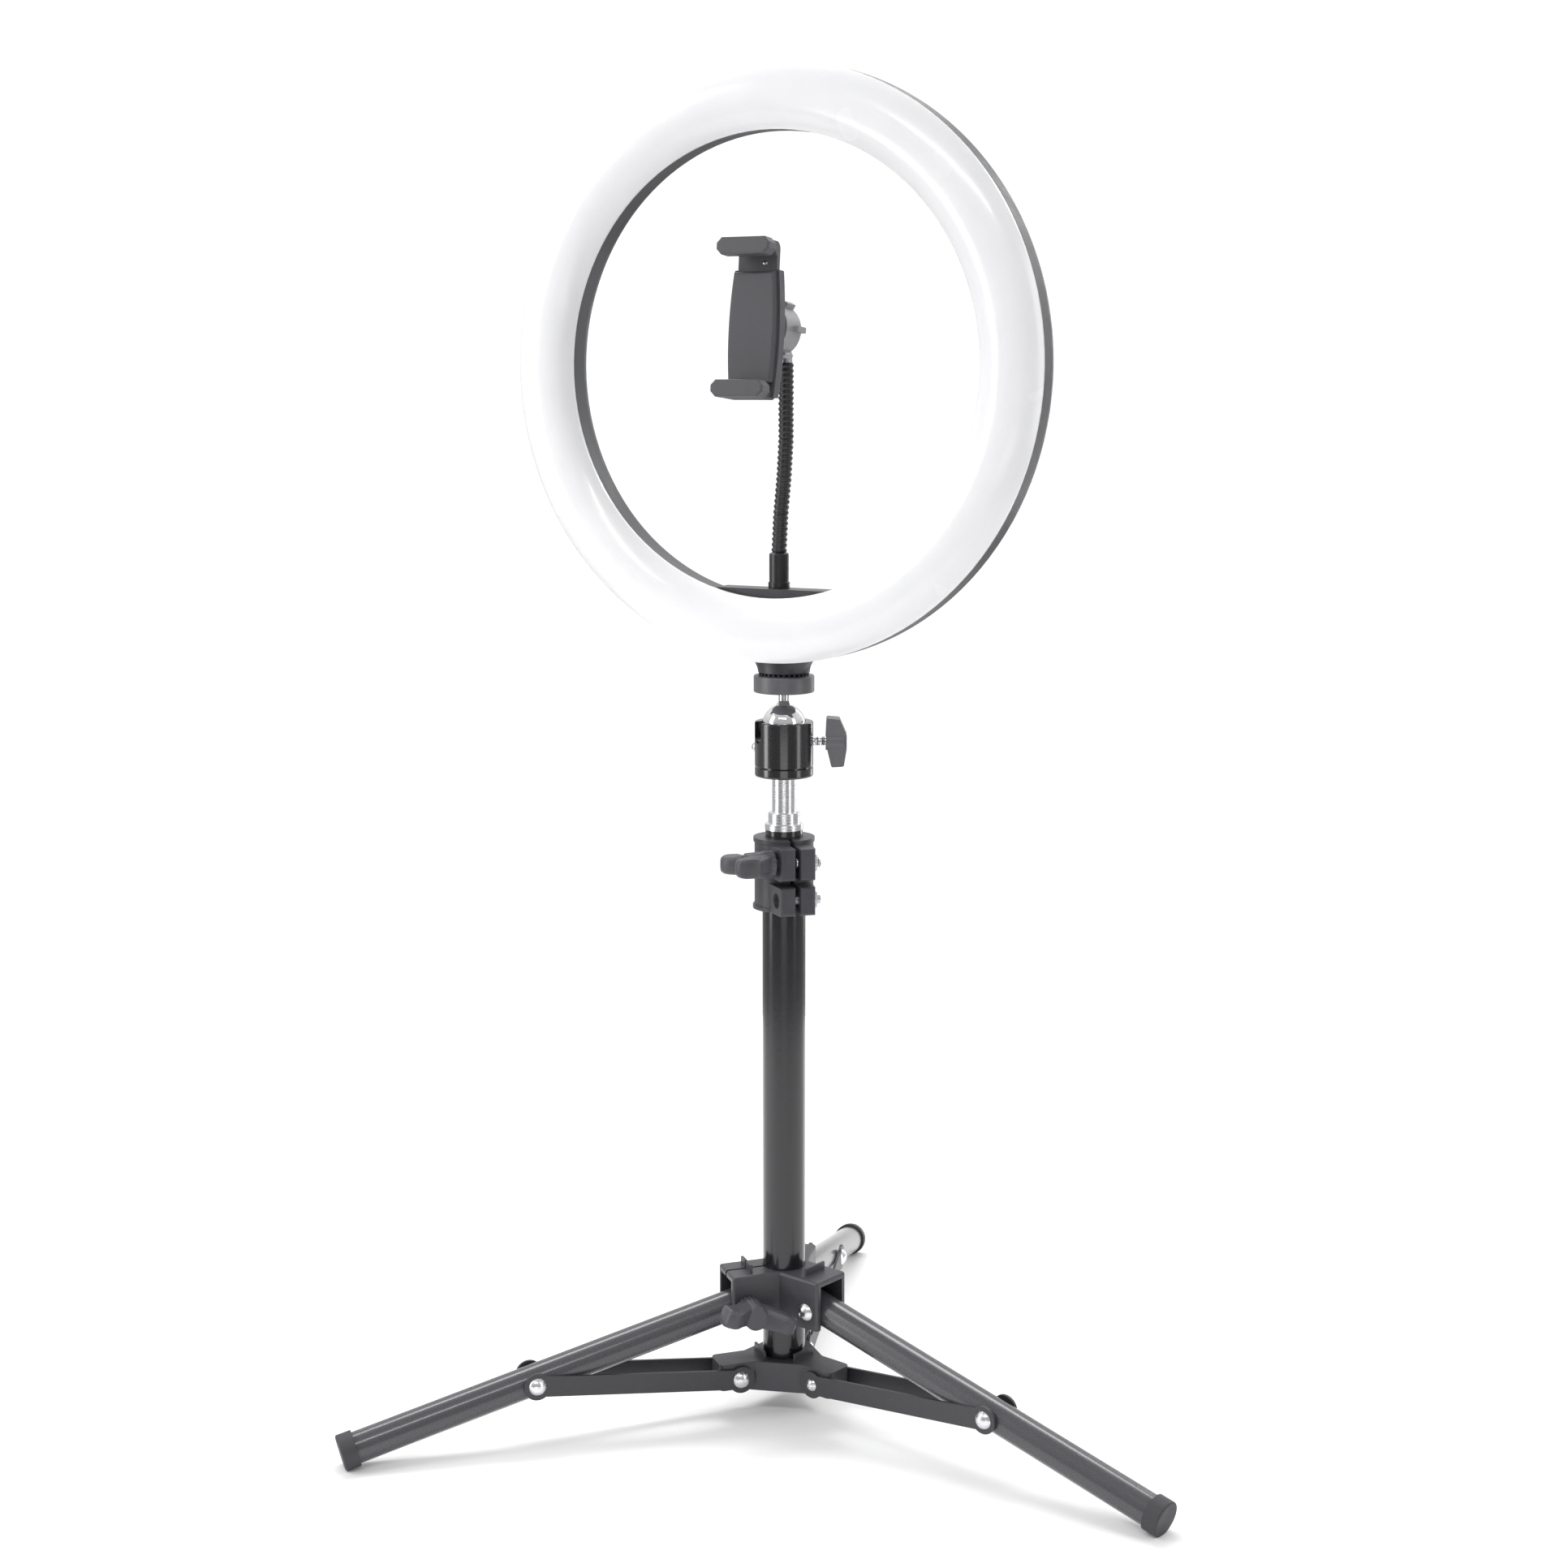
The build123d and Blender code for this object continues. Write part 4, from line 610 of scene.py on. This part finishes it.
# ---- Lamp: board and LEDs ---------------------------------------------------------------------
# An aluminium-core board with white solder mask, and two rows of surface-mount LEDs whose
# phosphor is pale yellow when dark.
coat(moulded("white_solder_mask", ("#eceded", "#f7f8f8"), 0.3, 0.36, 0.3 * MM, 0.005 * MM),
     "led_board")
coat(moulded("pale_yellow_phosphor", ("#e7d98a", "#f0e5a6"), 0.35, 0.45, 0.2 * MM, 0.01 * MM),
     "led_chips")


# ---- Lamp: diffuser ---------------------------------------------------------------------------
# The domed cover over the LEDs, moulded in opal acrylic. It scatters light inside its wall, so
# it reads as soft white with clear, glossy reflections on top.
opal, opal_tree, opal_shader, opal_here = finish("opal_acrylic", {
    "IOR": 1.49, "Subsurface Weight": 0.35, "Subsurface Scale": 4 * MM,
    "Subsurface Radius": (1.0, 1.0, 1.0), "Coat Weight": 0.25, "Coat Roughness": 0.1})
opal_cloud = mottled(opal_tree, opal_shader, ("#f1f1f4", "#f8f8fa"), opal_here, 30 * MM)
uneven(opal_tree, opal_shader, opal_cloud, 0.2, 0.28)
coat(opal, "diffuser")


# ---- Phone holder: gooseneck ------------------------------------------------------------------
# A steel interlocked hose in black PVC-dipped wire, screwed to the seat by a plain black
# ferrule. Round ridges follow one another every 2.7 mm or so, and each link bends a little.
RIDGES_PER_LINK, HOSE_R, RIDGE, GROOVE = 7, 3.9 * MM, 1.15 * MM, 0.55 * MM
LINK_LENGTH, HOSE_SIDES, WIRE_SIDES = 18.6 * MM, 40, 14

hose_vinyl = moulded("black_vinyl_hose", ("#1d1d1f", "#2b2b2e"), 0.26, 0.36, 0.5 * MM,
                     0.015 * MM)


def hose_tree():
    """A ridged length of hose along +Z, with a round end inside its foot."""
    tree, given = geometry_tree("ridged_hose", {
        "Radius": ("NodeSocketFloat", HOSE_R), "Ridge": ("NodeSocketFloat", RIDGE),
        "Groove": ("NodeSocketFloat", GROOVE),
        "Length": ("NodeSocketFloat", LINK_LENGTH), "Ridges": ("NodeSocketInt", RIDGES_PER_LINK),
        "Material": ("NodeSocketMaterial", None)})
    core = reckoned(tree, "SUBTRACT", given["Radius"], given["Ridge"])
    pitch = reckoned(tree, "DIVIDE", given["Length"], given["Ridges"])
    first = add(tree, "ShaderNodeCombineXYZ", inputs={
        "Z": reckoned(tree, "MULTIPLY", pitch, 0.5)})
    step = add(tree, "ShaderNodeCombineXYZ", inputs={"Z": pitch})
    line = add(tree, "GeometryNodeMeshLine", {"mode": "OFFSET"}, {
        "Count": given["Ridges"], "Start Location": first.outputs[0],
        "Offset": step.outputs[0]})
    loop = add(tree, "GeometryNodeCurvePrimitiveCircle", inputs={
        "Resolution": HOSE_SIDES, "Radius": core})
    wire = add(tree, "GeometryNodeCurvePrimitiveCircle", inputs={
        "Resolution": WIRE_SIDES, "Radius": given["Ridge"]})
    ridge = add(tree, "GeometryNodeCurveToMesh", inputs={
        "Curve": loop.outputs["Curve"], "Profile Curve": wire.outputs["Curve"]})
    ridges = add(tree, "GeometryNodeInstanceOnPoints", inputs={
        "Points": line.outputs["Mesh"], "Instance": ridge.outputs["Mesh"]})
    top = add(tree, "ShaderNodeCombineXYZ", inputs={"Z": given["Length"]})
    middle = add(tree, "GeometryNodeCurvePrimitiveLine", inputs={"End": top.outputs[0]})
    bottom = reckoned(tree, "SUBTRACT", given["Radius"], given["Groove"])
    skin = add(tree, "GeometryNodeCurvePrimitiveCircle", inputs={
        "Resolution": HOSE_SIDES, "Radius": bottom})
    liner = add(tree, "GeometryNodeCurveToMesh", inputs={
        "Curve": middle.outputs["Curve"], "Profile Curve": skin.outputs["Curve"],
        "Fill Caps": True})
    knuckle = add(tree, "GeometryNodeMeshUVSphere", inputs={
        "Segments": 32, "Rings": 16, "Radius": bottom})
    close_tree(tree, [ridges.outputs["Instances"], liner.outputs["Mesh"],
                      knuckle.outputs["Mesh"]], given["Material"])
    return tree


hose = hose_tree()
links = sum(name.startswith("goose_bend_") for name in joints)
bends = [Vector(joints[f"goose_bend_{i + 1}"]["pos_m"]) for i in range(links)]
bends.append(Vector((0, bends[-1].y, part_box(f"gooseneck_segment_{links}")[1].z)))
for i in range(links):
    stretch = bends[i + 1] - bends[i]
    place = Matrix.Translation(bends[i]) @ stretch.to_track_quat("Z", "Y").to_matrix().to_4x4()
    link = grown(f"gooseneck_link_{i + 1}", hose,
                 {"Length": stretch.length, "Material": hose_vinyl}, place)
    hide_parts(f"gooseneck_segment_{i + 1}")
    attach(link, f"goose_{i + 1}")
coat(hose_vinyl, "gooseneck_ferrule")
coat(zinc, "gooseneck_end")


# ---- Phone holder: nut, shell and cover -------------------------------------------------------
# The lugged ring nut is black ABS, given a light grey colour as a painted highlight for its
# bright rim. The shell and the domed cover are dark grey ABS with a fine matt texture,
# about a third of a millimetre, drawn at half a millimetre.
black_nut_abs_painted_highlight = moulded("black_abs_with_painted_highlight", ("#8e8e92", "#9c9ca0"), 0.36, 0.46, 0.5 * MM, 0.02 * MM)
holder_abs = moulded("matt_dark_grey_abs", ("#434347", "#4e4e53"), 0.46, 0.58, 0.5 * MM,
                     0.035 * MM)
coat(black_nut_abs_painted_highlight, "holder_nut")
coat(holder_abs, "holder_shell", "holder_front", "jaw_slider")
coat(zinc, "jaw_stop_screw")


# ---- Phone holder: pads -----------------------------------------------------------------------
# Soft rubber pads pushed over the jaws' lips, satin where they were moulded.
pad_grey = moulded("dark_grey_soft_rubber", ("#48484b", "#535357"), 0.42, 0.54, 0.5 * MM,
                   0.03 * MM)
coat(pad_grey, "jaw_pad_upper", "jaw_pad_lower")


# ---- Floor ------------------------------------------------------------------------------------
# A pale disc of matt paper with a barely visible tooth.
FLOOR_R, FLOOR_SIDES = 0.8, 96

paper = moulded("matt_white_paper", ("#f8f8f8", "#fcfcfc"), 0.85, 0.95, 3 * MM, 0.02 * MM)
floor_mesh = bpy.data.meshes.new("studio_floor")
floor_turns = [2 * math.pi * i / FLOOR_SIDES for i in range(FLOOR_SIDES)]
floor_mesh.from_pydata([(FLOOR_R * math.cos(turn), FLOOR_R * math.sin(turn), cad_low.z)
                        for turn in floor_turns], [], [range(FLOOR_SIDES)])
floor_mesh.materials.append(paper)
floor = bpy.data.objects.new("studio_floor", floor_mesh)
bpy.context.scene.collection.objects.link(floor)


# ---- Light ------------------------------------------------------------------------------------
# A white room, brightest overhead and behind the lamp and dim below it, so that black and
# bright parts both keep their edges. Soft boxes stand left, right, behind and overhead, and a
# low card in front lights the bright metal.
SKY_LOW, SKY_HIGH, BEHIND, IN_FRONT, SEEN_WHITE = 0.2, 0.65, 1.5, 0.8, 1.1
TOWARDS_CAMERA = Vector((math.sin(CAMERA_TURN), -math.cos(CAMERA_TURN), 0))
RIGHTWARDS = Vector((math.cos(CAMERA_TURN), math.sin(CAMERA_TURN), 0))


def facing(tree, direction, towards, reach, values):
    """A value that changes as a direction turns towards another one."""
    dot = add(tree, "ShaderNodeVectorMath", {"operation": "DOT_PRODUCT"}, {
        0: direction, 1: towards})
    return add(tree, "ShaderNodeMapRange", inputs={
        "Value": dot.outputs["Value"], "From Min": reach[0], "From Max": reach[1],
        "To Min": values[0], "To Max": values[1]}).outputs["Result"]


world = bpy.data.worlds.new("white_room")
bpy.context.scene.world = world
world.use_nodes = True
sky_tree = world.node_tree
sky_tree.nodes.clear()
seen_from = add(sky_tree, "ShaderNodeTexCoord").outputs["Generated"]
overhead = facing(sky_tree, seen_from, UP, (-0.4, 0.4), (SKY_LOW, SKY_HIGH))
in_front = facing(sky_tree, seen_from, TOWARDS_CAMERA, (-0.7, 0.7), (BEHIND, IN_FRONT))
glow = reckoned(sky_tree, "MULTIPLY", overhead, in_front)
seen = add(sky_tree, "ShaderNodeLightPath").outputs["Is Camera Ray"]
level = add(sky_tree, "ShaderNodeMix", {"data_type": "FLOAT"}, {
    0: seen, "A": glow, "B": SEEN_WHITE})
room = add(sky_tree, "ShaderNodeBackground", inputs={
    "Color": linear("#ffffff"), "Strength": level.outputs["Result"]})
add(sky_tree, "ShaderNodeOutputWorld", inputs={"Surface": room.outputs[0]})

SOFT_BOXES = {
    "left_box": (-1.1, 0.3, 0.6, (0.35, 1.3), 7.0),
    "right_box": (1.2, 0.7, 0.6, (0.35, 1.3), 4.0),
    "rim_box": (0.8, -0.9, 0.6, (0.12, 1.3), 3.0),
    "top_box": (-0.1, -0.7, 1.5, (1.4, 0.4), 14.0),
    "front_box": (-0.3, 1.5, 1.8, (1.4, 0.15), 10.0),
    "low_card": (0.0, 2.0, -0.05, (1.0, 0.2), 1.5),
}
AIMED_AT = Vector((0, 0, 0.3))
for name, (right, near, height, size, power) in SOFT_BOXES.items():
    box_light = bpy.data.lights.new(name, "AREA")
    box_light.shape, box_light.energy = "RECTANGLE", power
    box_light.size, box_light.size_y = size
    stand = bpy.data.objects.new(name, box_light)
    stand.location = RIGHTWARDS * right + TOWARDS_CAMERA * near + UP * height
    stand.rotation_euler = (AIMED_AT - stand.location).to_track_quat("-Z", "Y").to_euler()
    bpy.context.scene.collection.objects.link(stand)
